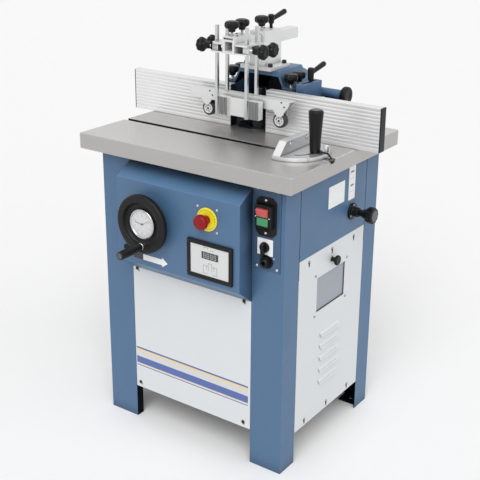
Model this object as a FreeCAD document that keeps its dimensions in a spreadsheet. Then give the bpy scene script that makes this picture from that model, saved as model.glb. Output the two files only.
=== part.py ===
import FreeCAD, Part
import math
import os
import Sketcher

# A floor-standing spindle moulder, in millimetres. The floor is z = 0 and +Z is up.
# The operator stands on the -Y side, and +X is to the operator's right.

SIZES = {
    # Table
    "table_width": 680,
    "table_depth": 550,
    "table_height": 850,
    "table_edge": 43,
    "table_plate": 20,
    "table_centre_y": 55,
    "pocket_width": 380,
    "pocket_front": 190,
    "pocket_margin": 16,
    "slot_offset": 118,
    "slot_width": 16,
    "slot_depth": 9,
    "ring_radius": 62,
    "ring_thickness": 8,
    "ring_ledge": 6,
    "ring_gap": 5,
    # Clearances shared by every fit
    "overrun": 5,
    "seat_gap": 0.3,
    "running_gap": 0.05,
    # Cabinet
    "cabinet_width": 598,
    "cabinet_front": 231.5,
    "cabinet_back": 245,
    "sheet": 3,
    "leg_width": 98.5,
    "leg_depth": 68,
    "leg_lip": 26,
    "foot_plate": 5,
    "foot_width": 60,
    "foot_depth": 50,
    "foot_hole": 5.5,
    "rail_height": 18,
    "rail_depth": 18,
    "panel_gap": 0.5,
    "panel_bottom": 92,
    "front_panel_bottom": 102,
    "upper_panel_height": 216,
    # Access panel on the right side
    "window_centre_y": 3,
    "window_drop": 126.5,
    "window_width": 146,
    "window_height": 99,
    "window_lap": 9,
    "pane_thickness": 2,
    "keyhole_pitch": 117,
    "keyhole_inset": 17,
    "louvre_width": 100,
    "louvre_height": 12,
    "louvre_depth": 7,
    "louvre_slot": 4,
    "pull_drop": 46,
    # Screws
    "screw_head": 5,
    "screw_head_height": 3,
    "screw_shank": 2.5,
    "rivet_head": 3.2,
    "rivet_head_height": 1.6,
    "panel_screw_inset": 20,
    "cap_screw_head": 6.5,
    "cap_screw_height": 9,
    # Control housing
    "housing_proud": 54.5,
    "housing_back": 20,
    "housing_height": 307,
    "housing_slope_low": 42,
    "housing_slope_high": 31,
    "housing_wall": 2.5,
    # Handwheel and lifting gear
    "screw_offset": 35,
    "wheel_drop": 132,
    "wheel_radius": 80,
    "wheel_rim": 9,
    "wheel_web": 7,
    "wheel_hub": 24,
    "wheel_standoff": 7,
    "wheel_reach": 44,
    "wheel_dish": 16,
    "dial_radius": 41,
    "dial_depth": 15,
    "crank_throw": 60,
    "crank_stud": 5,
    "grip_radius": 12,
    "grip_length": 80,
    "grip_tip": 12,
    "shaft_radius": 8,
    "bush_radius": 14,
    "bush_flange": 20,
    "bush_flange_height": 6,
    "bevel_far": 20,
    "bevel_near": 11,
    "screw_radius": 10,
    "screw_stem": 7,
    "screw_reach": 216,
    "screw_collar": 13,
    "screw_collar_height": 7,
    # Emergency stop and display on the housing's front
    "stop_inset": 99.5,
    "stop_drop": 88,
    "stop_disc": 31,
    "stop_disc_height": 3,
    "stop_stem": 11,
    "stop_head": 20,
    "stop_standoff": 19,
    "stop_head_height": 18,
    "stop_rivet_pitch": 60,
    "display_inset": 90,
    "display_rise": 107.5,
    "display_width": 142,
    "display_height": 103,
    "display_depth": 6,
    "display_border_x": 10.5,
    "display_border_z": 11,
    "display_recess": 2,
    # Switchgear on the right front leg
    "plate_inset_left": 5.5,
    "plate_inset_right": 13,
    "plate_height": 220,
    "plate_top_gap": 7,
    "plate_thickness": 2,
    "switch_shift": 1.5,
    "switch_drop": 73,
    "switch_width": 47,
    "switch_height": 94,
    "switch_depth": 19,
    "button_width": 32,
    "button_height": 21,
    "button_back": 6,
    "red_proud": 9,
    "green_proud": 3,
    "button_gap": 3,
    "selector_shift": 4,
    "selector_drop": 157,
    "selector_width": 46,
    "selector_height": 44,
    "selector_stem": 6,
    "selector_radius": 14,
    "selector_skirt": 7,
    "selector_lever": 17,
    "selector_lever_width": 8,
    "selector_lever_height": 9,
    "gland_drop": 200,
    "gland_nut": 15,
    "gland_nut_height": 6,
    "gland_dome": 11,
    "gland_height": 15,
    "gland_bore": 4,
    # Spindle lock on the right side
    "lock_y": 101,
    "lock_drop": 154.5,
    "lock_flange": 23,
    "lock_flange_height": 6,
    "lock_sleeve": 11,
    "lock_sleeve_height": 24,
    "lock_pin": 7,
    "lock_pin_inside": 40,
    "lock_knob": 22.5,
    "lock_knob_start": 46,
    "lock_knob_height": 25,
    # Spindle, quill and drive
    "spindle_setback": 92,
    "spindle_rise": 107,
    "spindle_radius": 15,
    "spindle_flange": 29,
    "spindle_flange_height": 8,
    "spindle_seat_drop": 4,
    "spindle_neck": 20,
    "spindle_journal": 17,
    "spindle_tail": 12,
    "spindle_tail_length": 40,
    "collar_radius": 24,
    "collar_height": 16,
    "nut_radius": 23,
    "nut_height": 14,
    "quill_radius": 50,
    "quill_length": 250,
    "quill_drop": 50,
    "quill_bore": 24,
    "bearing_radius": 36,
    "bearing_height": 18,
    "sleeve_wall": 12,
    "ear_rise": 34,
    "sleeve_flange_lip": 20,
    "sleeve_flange_height": 12,
    "ear_height": 20,
    "ear_width": 40,
    "nut_lug_rise": 10,
    "nut_lug_height": 30,
    "bracket_thickness": 12,
    "bracket_margin": 8,
    "motor_side_gap": 48,
    "motor_setback": -10,
    "motor_radius": 75,
    "motor_height": 200,
    "motor_shaft": 9.5,
    "motor_shaft_depth": 30,
    "motor_boss": 30,
    "spindle_pulley": 36,
    "motor_pulley": 60,
    "pulley_height": 26,
    "belt_width": 10,
    "belt_depth": 8,
    "belt_inset": 1,
    "groove_gap": 0.6,
    # Hood over the cutter
    "hood_front": 83,
    "hood_back": 205,
    "hood_height": 159,
    "hood_half_top": 63,
    "hood_wall": 6,
    "hood_crown": 15,
    "port_radius": 50,
    "port_wall": 3,
    "port_rise": 80,
    "port_end": 300,
    "hood_ear_rise": 106,
    "hood_ear_height": 10,
    "hood_ear_margin": 15,
    "hood_knob_inset": 12,
    "slide_margin": 6,
    "slide_front_gap": 17,
    "slide_base_height": 12,
    # Fences and their carriers
    "fence_face": 31,
    "fence_thickness": 26,
    "fence_height": 116,
    "fence_reach": 407,
    "fence_gap_left": 55,
    "fence_gap_right": 57,
    "fence_lift": 0.4,
    "fence_groove_width": 2.4,
    "fence_groove_depth": 1.2,
    "fence_groove_pitch": 9.6,
    "fence_keyway": 8,
    "fence_key_height": 6,
    "fence_key_low": 56,
    "carrier_plate": 12,
    "carrier_rise": 16,
    "carrier_height": 100,
    "left_carrier_gap": 14,
    "left_carrier_width": 110,
    "left_foot_depth": 113,
    "right_carrier_gap": 6,
    "right_carrier_width": 108,
    "right_block_width": 58,
    "right_block_depth": 83,
    "right_box_overhang": 12,
    "right_box_width": 26,
    "right_box_depth": 91,
    "right_block_height": 90,
    "right_box_height": 45,
    "adjust_setback": 36,
    "adjust_rise": 98,
    "adjust_tube": 13,
    "adjust_gap": 6,
    "adjust_tube_length": 50,
    "adjust_shaft": 6,
    "adjust_web": 14,
    "adjust_knob": 24,
    "adjust_knob_height": 20,
    # Lobed clamp knobs and clamp levers
    "knob_radius": 20,
    "knob_height": 19,
    "knob_hub": 9,
    "knob_hub_height": 10,
    "knob_stud": 4,
    "knob_stud_sink": 6,
    "knob_gap": 2,
    "top_knob_stud": 11,
    "side_knob_stud": 22,
    "knob_lobe": 9,
    "lever_setback": 53,
    "lever_stud": 4,
    "lever_neck": 5,
    "lever_hub": 9,
    "lever_hub_height": 26,
    "lever_length": 70,
    "lever_root": 4.5,
    "lever_tip": 7,
    # Mast, arm and cross frame of the hold-down
    "mast_half_width": 25,
    "mast_overhang": 10,
    "mast_depth": 82,
    "mast_cap": 9,
    "mast_flange_half": 50,
    "mast_flange_lap": 8,
    "mast_flange_height": 10,
    "mast_knob_inset": 21,
    "mast_lever_inset": 15,
    "mast_screw_x": 40,
    "arm_side": 30,
    "arm_wall": 3,
    "arm_rise": 65,
    "arm_reach_front": 60,
    "arm_reach_back": 258,
    "cross_margin": 10.5,
    "cross_inset": 2,
    "cross_height": 26,
    "cross_sheet": 4,
    "sleeve_cap": 11,
    "sleeve_slot": 5,
    "clamp_block": 14,
    "rod_side": 8,
    "rod_half_pitch": 48,
    "rod_inset": 14,
    "rod_back_inset": 12,
    "rod_knob_gap": 6,
    "rod_overhang": 36,
    "rod_gap": 0.2,
    # Pressure shoe on the front rods
    "shoe_rise": 49,
    "shoe_height": 49,
    "shoe_overhang": 36,
    "shoe_block_left": 35,
    "shoe_block_right": 34,
    "shoe_depth": 20,
    "shoe_plate_inset": 8,
    "shoe_plate": 6,
    "shoe_rib": 3,
    # Roller beam on the rear rods
    "beam_end_left": 37,
    "beam_end_right": 17,
    "beam_rise": 105,
    "beam_depth": 26,
    "beam_sheet": 2.5,
    "beam_web_height": 13,
    "beam_end_height": 28,
    "fork_gap_left": 15,
    "fork_gap_right": 35,
    "fork_height": 62,
    "fork_tip": 7,
    "fork_shoulder": 12,
    "fork_root": 20,
    "roller_left_reach": 107,
    "roller_right_reach": 127,
    "roller_drop": 55.5,
    "roller_radius": 20,
    "roller_width": 14,
    "roller_hub": 13,
    "axle_radius": 3,
    # Mitre gauge in the table slot
    "gauge_inset": 110,
    "gauge_bar_back": 100,
    "gauge_bar_front": 100,
    "gauge_bar_gap": 0.15,
    "gauge_plate": 10,
    "gauge_radius": 88,
    "gauge_back": 13,
    "gauge_pin": 5,
    "gauge_slot_radius": 58,
    "gauge_slot_width": 9,
    "gauge_stud": 4,
    "gauge_stud_length": 50,
    "gauge_fence_half": 86,
    "gauge_fence_thickness": 22,
    "gauge_fence_height": 32,
    "gauge_fence_bevel": 31,
    "handle_foot": 13.5,
    "handle_top": 19,
    "handle_height": 110,
    "handle_waist_height": 6,
}

doc = FreeCAD.newDocument("spindle_moulder")
sheet = doc.addObject("Spreadsheet::Sheet", "Sizes")
for row, (alias, number) in enumerate(SIZES.items(), start=1):
    sheet.set(f"A{row}", alias)
    sheet.set(f"B{row}", str(number))
    sheet.setAlias(f"B{row}", alias)
doc.recompute()


class Size:
    """A length worked out from the sheet: its formula, and its value now."""

    def __init__(self, text, value):
        self.text = text
        self.value = value

    def join(self, sign, other, value):
        return Size(f"({self.text} {sign} {as_size(other).text})", value)

    def __add__(self, other):
        return self.join("+", other, self.value + as_size(other).value)

    def __radd__(self, other):
        return as_size(other) + self

    def __sub__(self, other):
        return self.join("-", other, self.value - as_size(other).value)

    def __rsub__(self, other):
        return as_size(other) - self

    def __mul__(self, other):
        return self.join("*", other, self.value * as_size(other).value)

    def __rmul__(self, other):
        return as_size(other) * self

    def __truediv__(self, other):
        return self.join("/", other, self.value / as_size(other).value)

    def __neg__(self):
        return Size(f"(-{self.text})", -self.value)


def as_size(number):
    return number if isinstance(number, Size) else Size(repr(number), number)


class Sheet:
    """Each alias of the sheet as a Size."""

    def __getattr__(self, alias):
        return Size(f"Sizes.{alias}", sheet.get(alias))


d = Sheet()

TURN = {
    "x": FreeCAD.Rotation(FreeCAD.Vector(0, 1, 0), 90),
    "-x": FreeCAD.Rotation(FreeCAD.Vector(0, 1, 0), -90),
    "y": FreeCAD.Rotation(FreeCAD.Vector(1, 0, 0), -90),
    "-y": FreeCAD.Rotation(FreeCAD.Vector(1, 0, 0), 90),
    "z": FreeCAD.Rotation(),
    "-z": FreeCAD.Rotation(FreeCAD.Vector(1, 0, 0), 180),
}
SWEEP_PLANE = {"x": "YZ_Plane", "y": "XZ_Plane", "z": "XY_Plane"}
HEX_SIDES = 6

nodes = {}
tally = {}


def fresh(name):
    """A name for a helper object that no other object has."""
    tally[name] = tally.get(name, 0) + 1
    return f"{name}_{tally[name]}"


def bind(obj, prop, size):
    obj.setExpression(prop, as_size(size).text)


def stand(obj, start, rotation=None):
    """Puts an object's own origin at start, turned by rotation."""
    base = FreeCAD.Vector(*[as_size(s).value for s in start])
    obj.Placement = FreeCAD.Placement(base, rotation or FreeCAD.Rotation())
    for letter, size in zip("xyz", start):
        bind(obj, f"Placement.Base.{letter}", size)
    return obj


def box(low, high):
    obj = doc.addObject("Part::Box", fresh("box"))
    for prop, a, b in zip(("Length", "Width", "Height"), low, high):
        bind(obj, prop, as_size(b) - a)
    return stand(obj, low)


def rod(start, axis, radius, length):
    obj = doc.addObject("Part::Cylinder", fresh("rod"))
    bind(obj, "Radius", radius)
    bind(obj, "Height", length)
    return stand(obj, start, TURN[axis])


def taper(start, rotation, root, tip, length):
    obj = doc.addObject("Part::Cone", fresh("taper"))
    bind(obj, "Radius1", root)
    bind(obj, "Radius2", tip)
    bind(obj, "Height", length)
    return stand(obj, start, rotation)


def ball(centre, radius):
    obj = doc.addObject("Part::Sphere", fresh("ball"))
    bind(obj, "Radius", radius)
    return stand(obj, centre)


def nut(start, axis, radius, height):
    obj = doc.addObject("Part::Prism", fresh("nut"))
    obj.Polygon = HEX_SIDES
    bind(obj, "Circumradius", radius)
    bind(obj, "Height", height)
    return stand(obj, start, TURN[axis])


def fuse(*parts):
    if len(parts) == 1:
        return parts[0]
    obj = doc.addObject("Part::MultiFuse", fresh("joined"))
    obj.Shapes = list(parts)
    obj.Refine = True
    return obj


def cut(base, *tools):
    obj = doc.addObject("Part::Cut", fresh("cut"))
    obj.Base = base
    obj.Tool = fuse(*tools)
    obj.Refine = True
    return obj


def overlap_of(one, other):
    obj = doc.addObject("Part::Common", fresh("shared"))
    obj.Base = one
    obj.Tool = other
    return obj


def group(parts):
    obj = doc.addObject("Part::Compound", fresh("group"))
    obj.Links = list(parts)
    return obj


def tube(start, axis, outer, inner, length):
    return cut(rod(start, axis, outer, length), rod(start, axis, inner, length))


def sketch_outline(body, role, points):
    """A closed outline on one of the body's planes, each corner held by its two sizes."""
    plane = [f for f in body.Origin.OriginFeatures if f.Role == role][0]
    sketch = body.newObject("Sketcher::SketchObject", fresh("outline"))
    sketch.AttachmentSupport = (plane, [""])
    sketch.MapMode = "FlatFace"
    sized = [(as_size(u), as_size(v)) for u, v in points]
    corners = [FreeCAD.Vector(u.value, v.value, 0) for u, v in sized]
    count = len(corners)
    for i in range(count):
        sketch.addGeometry(Part.LineSegment(corners[i], corners[(i + 1) % count]))
    for i in range(count):
        sketch.addConstraint(Sketcher.Constraint("Coincident", i, 2, (i + 1) % count, 1))
    for i, (u, v) in enumerate(sized):
        for kind, size in (("DistanceX", u), ("DistanceY", v)):
            index = sketch.addConstraint(Sketcher.Constraint(kind, -1, 1, i, 1, size.value))
            sketch.setExpression(f"Constraints[{index}]", size.text)
    return sketch


def prism(axis, points, start, length):
    """An outline across axis, swept along it: (y, z) for x, (x, z) for y and (x, y) for z."""
    body = doc.addObject("PartDesign::Body", fresh("prism"))
    pad = body.newObject("PartDesign::Pad", fresh("pad"))
    pad.Profile = sketch_outline(body, SWEEP_PLANE[axis], points)
    bind(pad, "Length", length)
    pad.Reversed = axis == "y"
    body.Tip = pad
    return stand(body, [start if letter == axis else 0 for letter in "xyz"])


def turned(start, axis, points):
    """A solid of revolution: (radius, distance along axis) points."""
    body = doc.addObject("PartDesign::Body", fresh("turned"))
    spin = body.newObject("PartDesign::Revolution", fresh("spin"))
    sketch = sketch_outline(body, "XZ_Plane", points)
    spin.Profile = sketch
    spin.ReferenceAxis = (sketch, ["V_Axis"])
    spin.Angle = 360
    body.Tip = spin
    return stand(body, start, TURN[axis])


def node(label, obj):
    obj.Label = label
    nodes[label] = obj
    return obj


def at(y):
    """A place along Y measured from the table's middle."""
    return d.table_centre_y + y


# Places that many pieces share, each worked out from the sizes above
table_under = d.table_height - d.table_edge
table_ceiling = d.table_height - d.table_plate
spindle_y = at(d.spindle_setback)
slot_y = at(d.fence_face - d.slot_offset)
fence_back = at(d.fence_face) + d.fence_thickness
ring_bore = d.spindle_flange + d.ring_gap

leg_front = at(-d.cabinet_front)
leg_back = at(d.cabinet_back)
side_outer = d.cabinet_width / 2
side_inner = side_outer - d.sheet
leg_inner = side_outer - d.leg_width
side_front = leg_front + d.leg_depth
side_back = leg_back - d.leg_depth
side_split = table_under - d.upper_panel_height
window_y = at(d.window_centre_y)
window_z = side_split - d.window_drop

housing_face = leg_front - d.housing_proud
housing_high = table_under - d.rail_height - 2 * d.panel_gap
housing_low = housing_high - d.housing_height
front_panel_top = housing_low - d.panel_gap
wheel_x = -(d.quill_radius + d.screw_offset)
wheel_z = housing_high - d.wheel_drop
stop_x = leg_inner - d.stop_inset
stop_z = housing_high - d.stop_drop
display_x = leg_inner - d.display_inset
display_z = housing_low + d.display_rise

plate_face = leg_front - d.plate_thickness
plate_left = leg_inner + d.plate_inset_left
plate_right = side_outer - d.plate_inset_right
plate_high = table_under - d.plate_top_gap
plate_low = plate_high - d.plate_height
plate_middle = (plate_left + plate_right) / 2
lock_z = table_under - d.lock_drop

quill_top = d.table_height - d.quill_drop
quill_bottom = quill_top - d.quill_length
shelf_top = quill_bottom + d.bracket_thickness
nut_lug_z = quill_bottom + d.nut_lug_rise
sleeve_radius = d.quill_radius + d.sleeve_wall
sleeve_bottom = wheel_z + d.ear_rise
sleeve_flange = sleeve_radius + d.sleeve_flange_lip
spindle_seat_z = d.table_height - d.spindle_seat_drop
spindle_tail_z = quill_bottom - d.spindle_tail_length
pulley_low = quill_bottom - d.pulley_height - d.overrun
motor_reach = d.motor_radius + d.bracket_margin
motor_x = side_inner - d.motor_side_gap - motor_reach
motor_y = at(d.motor_setback)

HOOD_SLOPE_SHARE = 0.46
hood_top = d.table_height + d.hood_height


def hood_half_width(z):
    """Half the hood's width, which grows towards the table."""
    return d.hood_half_top + (hood_top - z) * HOOD_SLOPE_SHARE


hood_half_low = hood_half_width(d.table_height)
port_z = d.table_height + d.port_rise
hood_ear_z = d.table_height + d.hood_ear_rise
hood_knob_x = hood_half_width(hood_ear_z) + d.knob_radius / 2
hood_knob_ys = (
    at(d.hood_front) + d.hood_knob_inset,
    at(d.hood_front) + d.hood_knob_inset + 2 * d.knob_radius + d.knob_gap,
)

carrier_front = fence_back + d.seat_gap
carrier_back = carrier_front + d.carrier_plate
carrier_top = d.table_height + d.carrier_height
right_inner = hood_half_low + d.right_carrier_gap
right_block_outer = right_inner + d.right_block_width
right_block_back = carrier_front + d.right_block_depth
right_block_top = d.table_height + d.right_block_height
right_box_inner = right_inner - d.right_box_overhang
right_box_outer = right_box_inner + d.right_box_width
right_box_top = right_block_top + d.right_box_height
lever_x = (right_box_inner + right_box_outer) / 2
lever_y = carrier_back + d.lever_setback
adjust_y = right_block_back + d.adjust_setback
adjust_z = d.table_height + d.adjust_rise
adjust_left = right_box_outer + d.adjust_gap

arm_low = hood_top + d.arm_rise
arm_high = arm_low + d.arm_side
arm_front = at(-d.arm_reach_front)
mast_front = at(d.hood_front) - d.mast_overhang
mast_back = mast_front + d.mast_depth
mast_top = arm_high + d.mast_cap
mast_lever_y = mast_back - d.mast_lever_inset
mast_knob_y = mast_front + d.mast_knob_inset
cross_half = d.rod_half_pitch + d.cross_margin
cross_front = arm_front + d.cross_inset
cross_low = arm_low - d.cross_sheet
cross_high = cross_low + d.cross_height
sleeve_top = arm_high + d.sleeve_cap
rod_front = cross_front + d.rod_inset
rod_back = rod_front + 2 * d.knob_radius + d.rod_knob_gap
cross_back = rod_back + d.rod_back_inset
rod_top = arm_high + d.rod_overhang
shoe_low = d.table_height + d.shoe_rise
beam_top = d.table_height + d.beam_rise
gauge_pivot_x = d.table_width / 2 - d.gauge_inset


# Table: a cast slab, hollowed below, with a gauge slot and a stepped hole for the spindle
def table():
    slab = box(
        (-d.table_width / 2, at(-d.table_depth / 2), table_under),
        (d.table_width / 2, at(d.table_depth / 2), d.table_height),
    )
    pocket = box(
        (-d.pocket_width / 2, at(-d.pocket_front), table_under - d.overrun),
        (d.pocket_width / 2, spindle_y + sleeve_flange + d.pocket_margin, table_ceiling),
    )
    slot = box(
        (-d.table_width / 2 - d.overrun, slot_y - d.slot_width / 2, d.table_height - d.slot_depth),
        (d.table_width / 2 + d.overrun, slot_y + d.slot_width / 2, d.table_height + d.overrun),
    )
    recess_floor = d.table_height - d.ring_thickness
    recess = rod((0, spindle_y, recess_floor), "z", d.ring_radius + d.seat_gap, d.ring_thickness + d.overrun)
    hole = rod((0, spindle_y, table_ceiling - d.overrun), "z", d.ring_radius - d.ring_ledge, d.table_edge)
    node("table_top", cut(slab, pocket, slot, recess, hole))
    node("table_ring", tube((0, spindle_y, recess_floor), "z", d.ring_radius, ring_bore, d.ring_thickness))


# Legs: folded sheet, each with a lip inside its front or back face and a drilled foot plate
def leg(label, side, face, inward):
    outer = side * side_outer
    inner = side * leg_inner
    wall = side * d.sheet
    skin = inward * d.sheet
    outline = [
        (inner, face),
        (outer, face),
        (outer, face + inward * d.leg_depth),
        (outer - wall, face + inward * d.leg_depth),
        (outer - wall, face + skin),
        (inner + wall, face + skin),
        (inner + wall, face + inward * d.leg_lip),
        (inner, face + inward * d.leg_lip),
    ]
    post = prism("z", outline, 0, table_under)
    foot_outline = [
        (outer - wall, face + skin),
        (outer - wall - side * d.foot_width, face + skin),
        (outer - wall - side * d.foot_width, face + skin + inward * d.foot_depth),
        (outer - wall, face + skin + inward * d.foot_depth),
    ]
    foot = prism("z", foot_outline, 0, d.foot_plate)
    hole_x = outer - wall - side * d.foot_width / 2
    hole_y = face + skin + inward * d.foot_depth / 2
    hole = rod((hole_x, hole_y, -d.overrun), "z", d.foot_hole, d.foot_plate + 2 * d.overrun)
    node(label, cut(fuse(post, foot), hole))


def cabinet_rails():
    rails = []
    for low in (d.front_panel_bottom, table_under - d.rail_height):
        for face, inward in ((leg_front + d.sheet, 1), (leg_back - d.sheet, -1)):
            ends = sorted((face, face + inward * d.rail_depth), key=lambda size: size.value)
            rails.append(box((-leg_inner, ends[0], low), (leg_inner, ends[1], low + d.rail_height)))
        for side in (-1, 1):
            ends = sorted((side * side_inner, side * (side_inner - d.rail_depth)), key=lambda size: size.value)
            rails.append(
                box(
                    (ends[0], leg_front + d.sheet + d.foot_depth, low),
                    (ends[1], leg_back - d.sheet - d.foot_depth, low + d.rail_height),
                )
            )
    node("cabinet_rails", group(rails))


# Panels: flat sheets between the legs, seated on the rails
screws = []
rivets = []


def screw_along(start, axis, holes):
    """A panel screw whose head seats at start, and the hole it needs."""
    head = turned(
        start,
        axis,
        [
            (0, -d.sheet),
            (d.screw_shank, -d.sheet),
            (d.screw_shank, 0),
            (d.screw_head, 0),
            (d.screw_head, d.screw_head_height / 2),
            (d.screw_head - d.screw_head_height / 2, d.screw_head_height),
            (0, d.screw_head_height),
        ],
    )
    screws.append(head)
    outward = {"x": (1, 0, 0), "-y": (0, -1, 0)}[axis]
    foot = [s - step * (d.sheet + d.overrun) for s, step in zip(start, outward)]
    holes.append(rod(foot, axis, d.screw_shank + d.running_gap, d.sheet + 2 * d.overrun))


def rivet_at(start, axis):
    rivets.append(
        turned(
            start,
            axis,
            [
                (0, 0),
                (d.rivet_head, 0),
                (d.rivet_head, d.rivet_head_height / 2),
                (d.rivet_head / 2, d.rivet_head_height),
                (0, d.rivet_head_height),
            ],
        )
    )


def panels():
    half = leg_inner - d.panel_gap
    front = box((-half, leg_front, d.front_panel_bottom), (half, leg_front + d.sheet, front_panel_top))
    holes = []
    for side in (-1, 1):
        for z in (d.front_panel_bottom + d.panel_screw_inset / 2, front_panel_top - d.panel_screw_inset / 2):
            screw_along((side * (half - d.panel_screw_inset), leg_front, z), "-y", holes)
    node("front_panel", cut(front, *holes))

    node(
        "rear_panel",
        box((-half, leg_back - d.sheet, d.panel_bottom), (half, leg_back, table_under - d.panel_gap)),
    )
    low_y = side_front + d.panel_gap
    high_y = side_back - d.panel_gap
    node(
        "left_panel",
        box((-side_outer, low_y, d.panel_bottom), (-side_inner, high_y, side_split - d.panel_gap)),
    )
    left_upper = box((-side_outer, low_y, side_split), (-side_inner, high_y, table_under - d.panel_gap))
    right_upper = box((side_inner, low_y, side_split), (side_outer, high_y, table_under - d.panel_gap))
    lock_hole = rod(
        (side_inner - d.overrun, at(d.lock_y), lock_z), "x", d.lock_pin + d.seat_gap, d.sheet + 2 * d.overrun
    )
    node("upper_panels", group([left_upper, cut(right_upper, lock_hole)]))
    return low_y, high_y


def louvre(z):
    """A pressed hood, open below, over a slot through the sheet."""
    hood_outline = [
        (side_outer, z + d.louvre_height),
        (side_outer + d.louvre_depth, z),
        (side_outer + d.louvre_depth - d.sheet / 2, z),
        (side_outer, z + d.louvre_height - d.sheet),
    ]
    low_y = window_y - d.louvre_width / 2
    lip = prism("y", hood_outline, low_y, d.louvre_width)
    slot = box(
        (side_inner - d.overrun, low_y + d.sheet, z),
        (side_outer + d.overrun, low_y + d.louvre_width - d.sheet, z + d.louvre_slot),
    )
    return lip, slot


LOUVRES = 5
LOUVRE_LOW_SHARE = 0.303
LOUVRE_STEP_SHARE = 0.1115


def access_panel(low_y, high_y):
    top = side_split - d.panel_gap
    plate = box((side_inner, low_y, d.panel_bottom), (side_outer, high_y, top))
    window = box(
        (side_inner - d.overrun, window_y - d.window_width / 2, window_z - d.window_height / 2),
        (side_outer + d.overrun, window_y + d.window_width / 2, window_z + d.window_height / 2),
    )
    holes = [window]
    for z in (d.panel_bottom + d.keyhole_inset, top - d.keyhole_inset):
        for step in (-1, 0, 1):
            screw_along((side_outer, window_y + step * d.keyhole_pitch, z), "x", holes)
    for side in (-1, 1):
        for end in (-1, 1):
            y = window_y + side * (d.window_width / 2 + d.window_lap)
            z = window_z + end * (d.window_height / 2 + d.window_lap)
            screw_along((side_outer, y, z), "x", holes)
    lips = []
    below_window = window_z - d.window_height / 2 - d.panel_bottom
    for index in range(LOUVRES):
        lip, slot = louvre(d.panel_bottom + below_window * (LOUVRE_LOW_SHARE + index * LOUVRE_STEP_SHARE))
        lips.append(lip)
        holes.append(slot)
    node("access_panel", cut(fuse(plate, *lips), *holes))
    lap = d.window_lap / 2
    node(
        "window_pane",
        box(
            (
                side_inner - d.pane_thickness,
                window_y - d.window_width / 2 - lap,
                window_z - d.window_height / 2 - lap,
            ),
            (side_inner, window_y + d.window_width / 2 + lap, window_z + d.window_height / 2 + lap),
        ),
    )


# Control housing: a folded box with sloping top and bottom, open at the back
def control_housing():
    def side_outline(inset):
        back = leg_front + d.housing_back
        return [
            (back, housing_low + inset),
            (leg_front, housing_low + inset),
            (housing_face + inset, housing_low + d.housing_slope_low + inset / 2),
            (housing_face + inset, housing_high - d.housing_slope_high - inset / 2),
            (leg_front, housing_high - inset),
            (back, housing_high - inset),
        ]

    half = leg_inner
    outer = prism("x", side_outline(0), -half, 2 * half)
    inner_outline = side_outline(d.housing_wall)
    inner_outline[0] = (inner_outline[0][0] + d.overrun, inner_outline[0][1])
    inner_outline[-1] = (inner_outline[-1][0] + d.overrun, inner_outline[-1][1])
    inner = prism("x", inner_outline, -half + d.housing_wall, 2 * (half - d.housing_wall))
    reach = d.housing_wall + 2 * d.overrun
    shaft_hole = rod((wheel_x, housing_face - d.overrun, wheel_z), "y", d.bush_radius, reach)
    stop_hole = rod((stop_x, housing_face - d.overrun, stop_z), "y", d.stop_stem + d.seat_gap, reach)
    bore = d.shaft_radius + d.running_gap
    bush = turned(
        (wheel_x, housing_face, wheel_z),
        "-y",
        [
            (bore, -d.housing_wall - d.bush_flange_height),
            (d.bush_radius, -d.housing_wall - d.bush_flange_height),
            (d.bush_radius, 0),
            (d.bush_flange, 0),
            (d.bush_flange - d.bush_flange_height / 3, d.bush_flange_height),
            (bore, d.bush_flange_height),
        ],
    )
    node("control_housing", fuse(cut(outer, inner, shaft_hole, stop_hole), bush))


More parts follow.
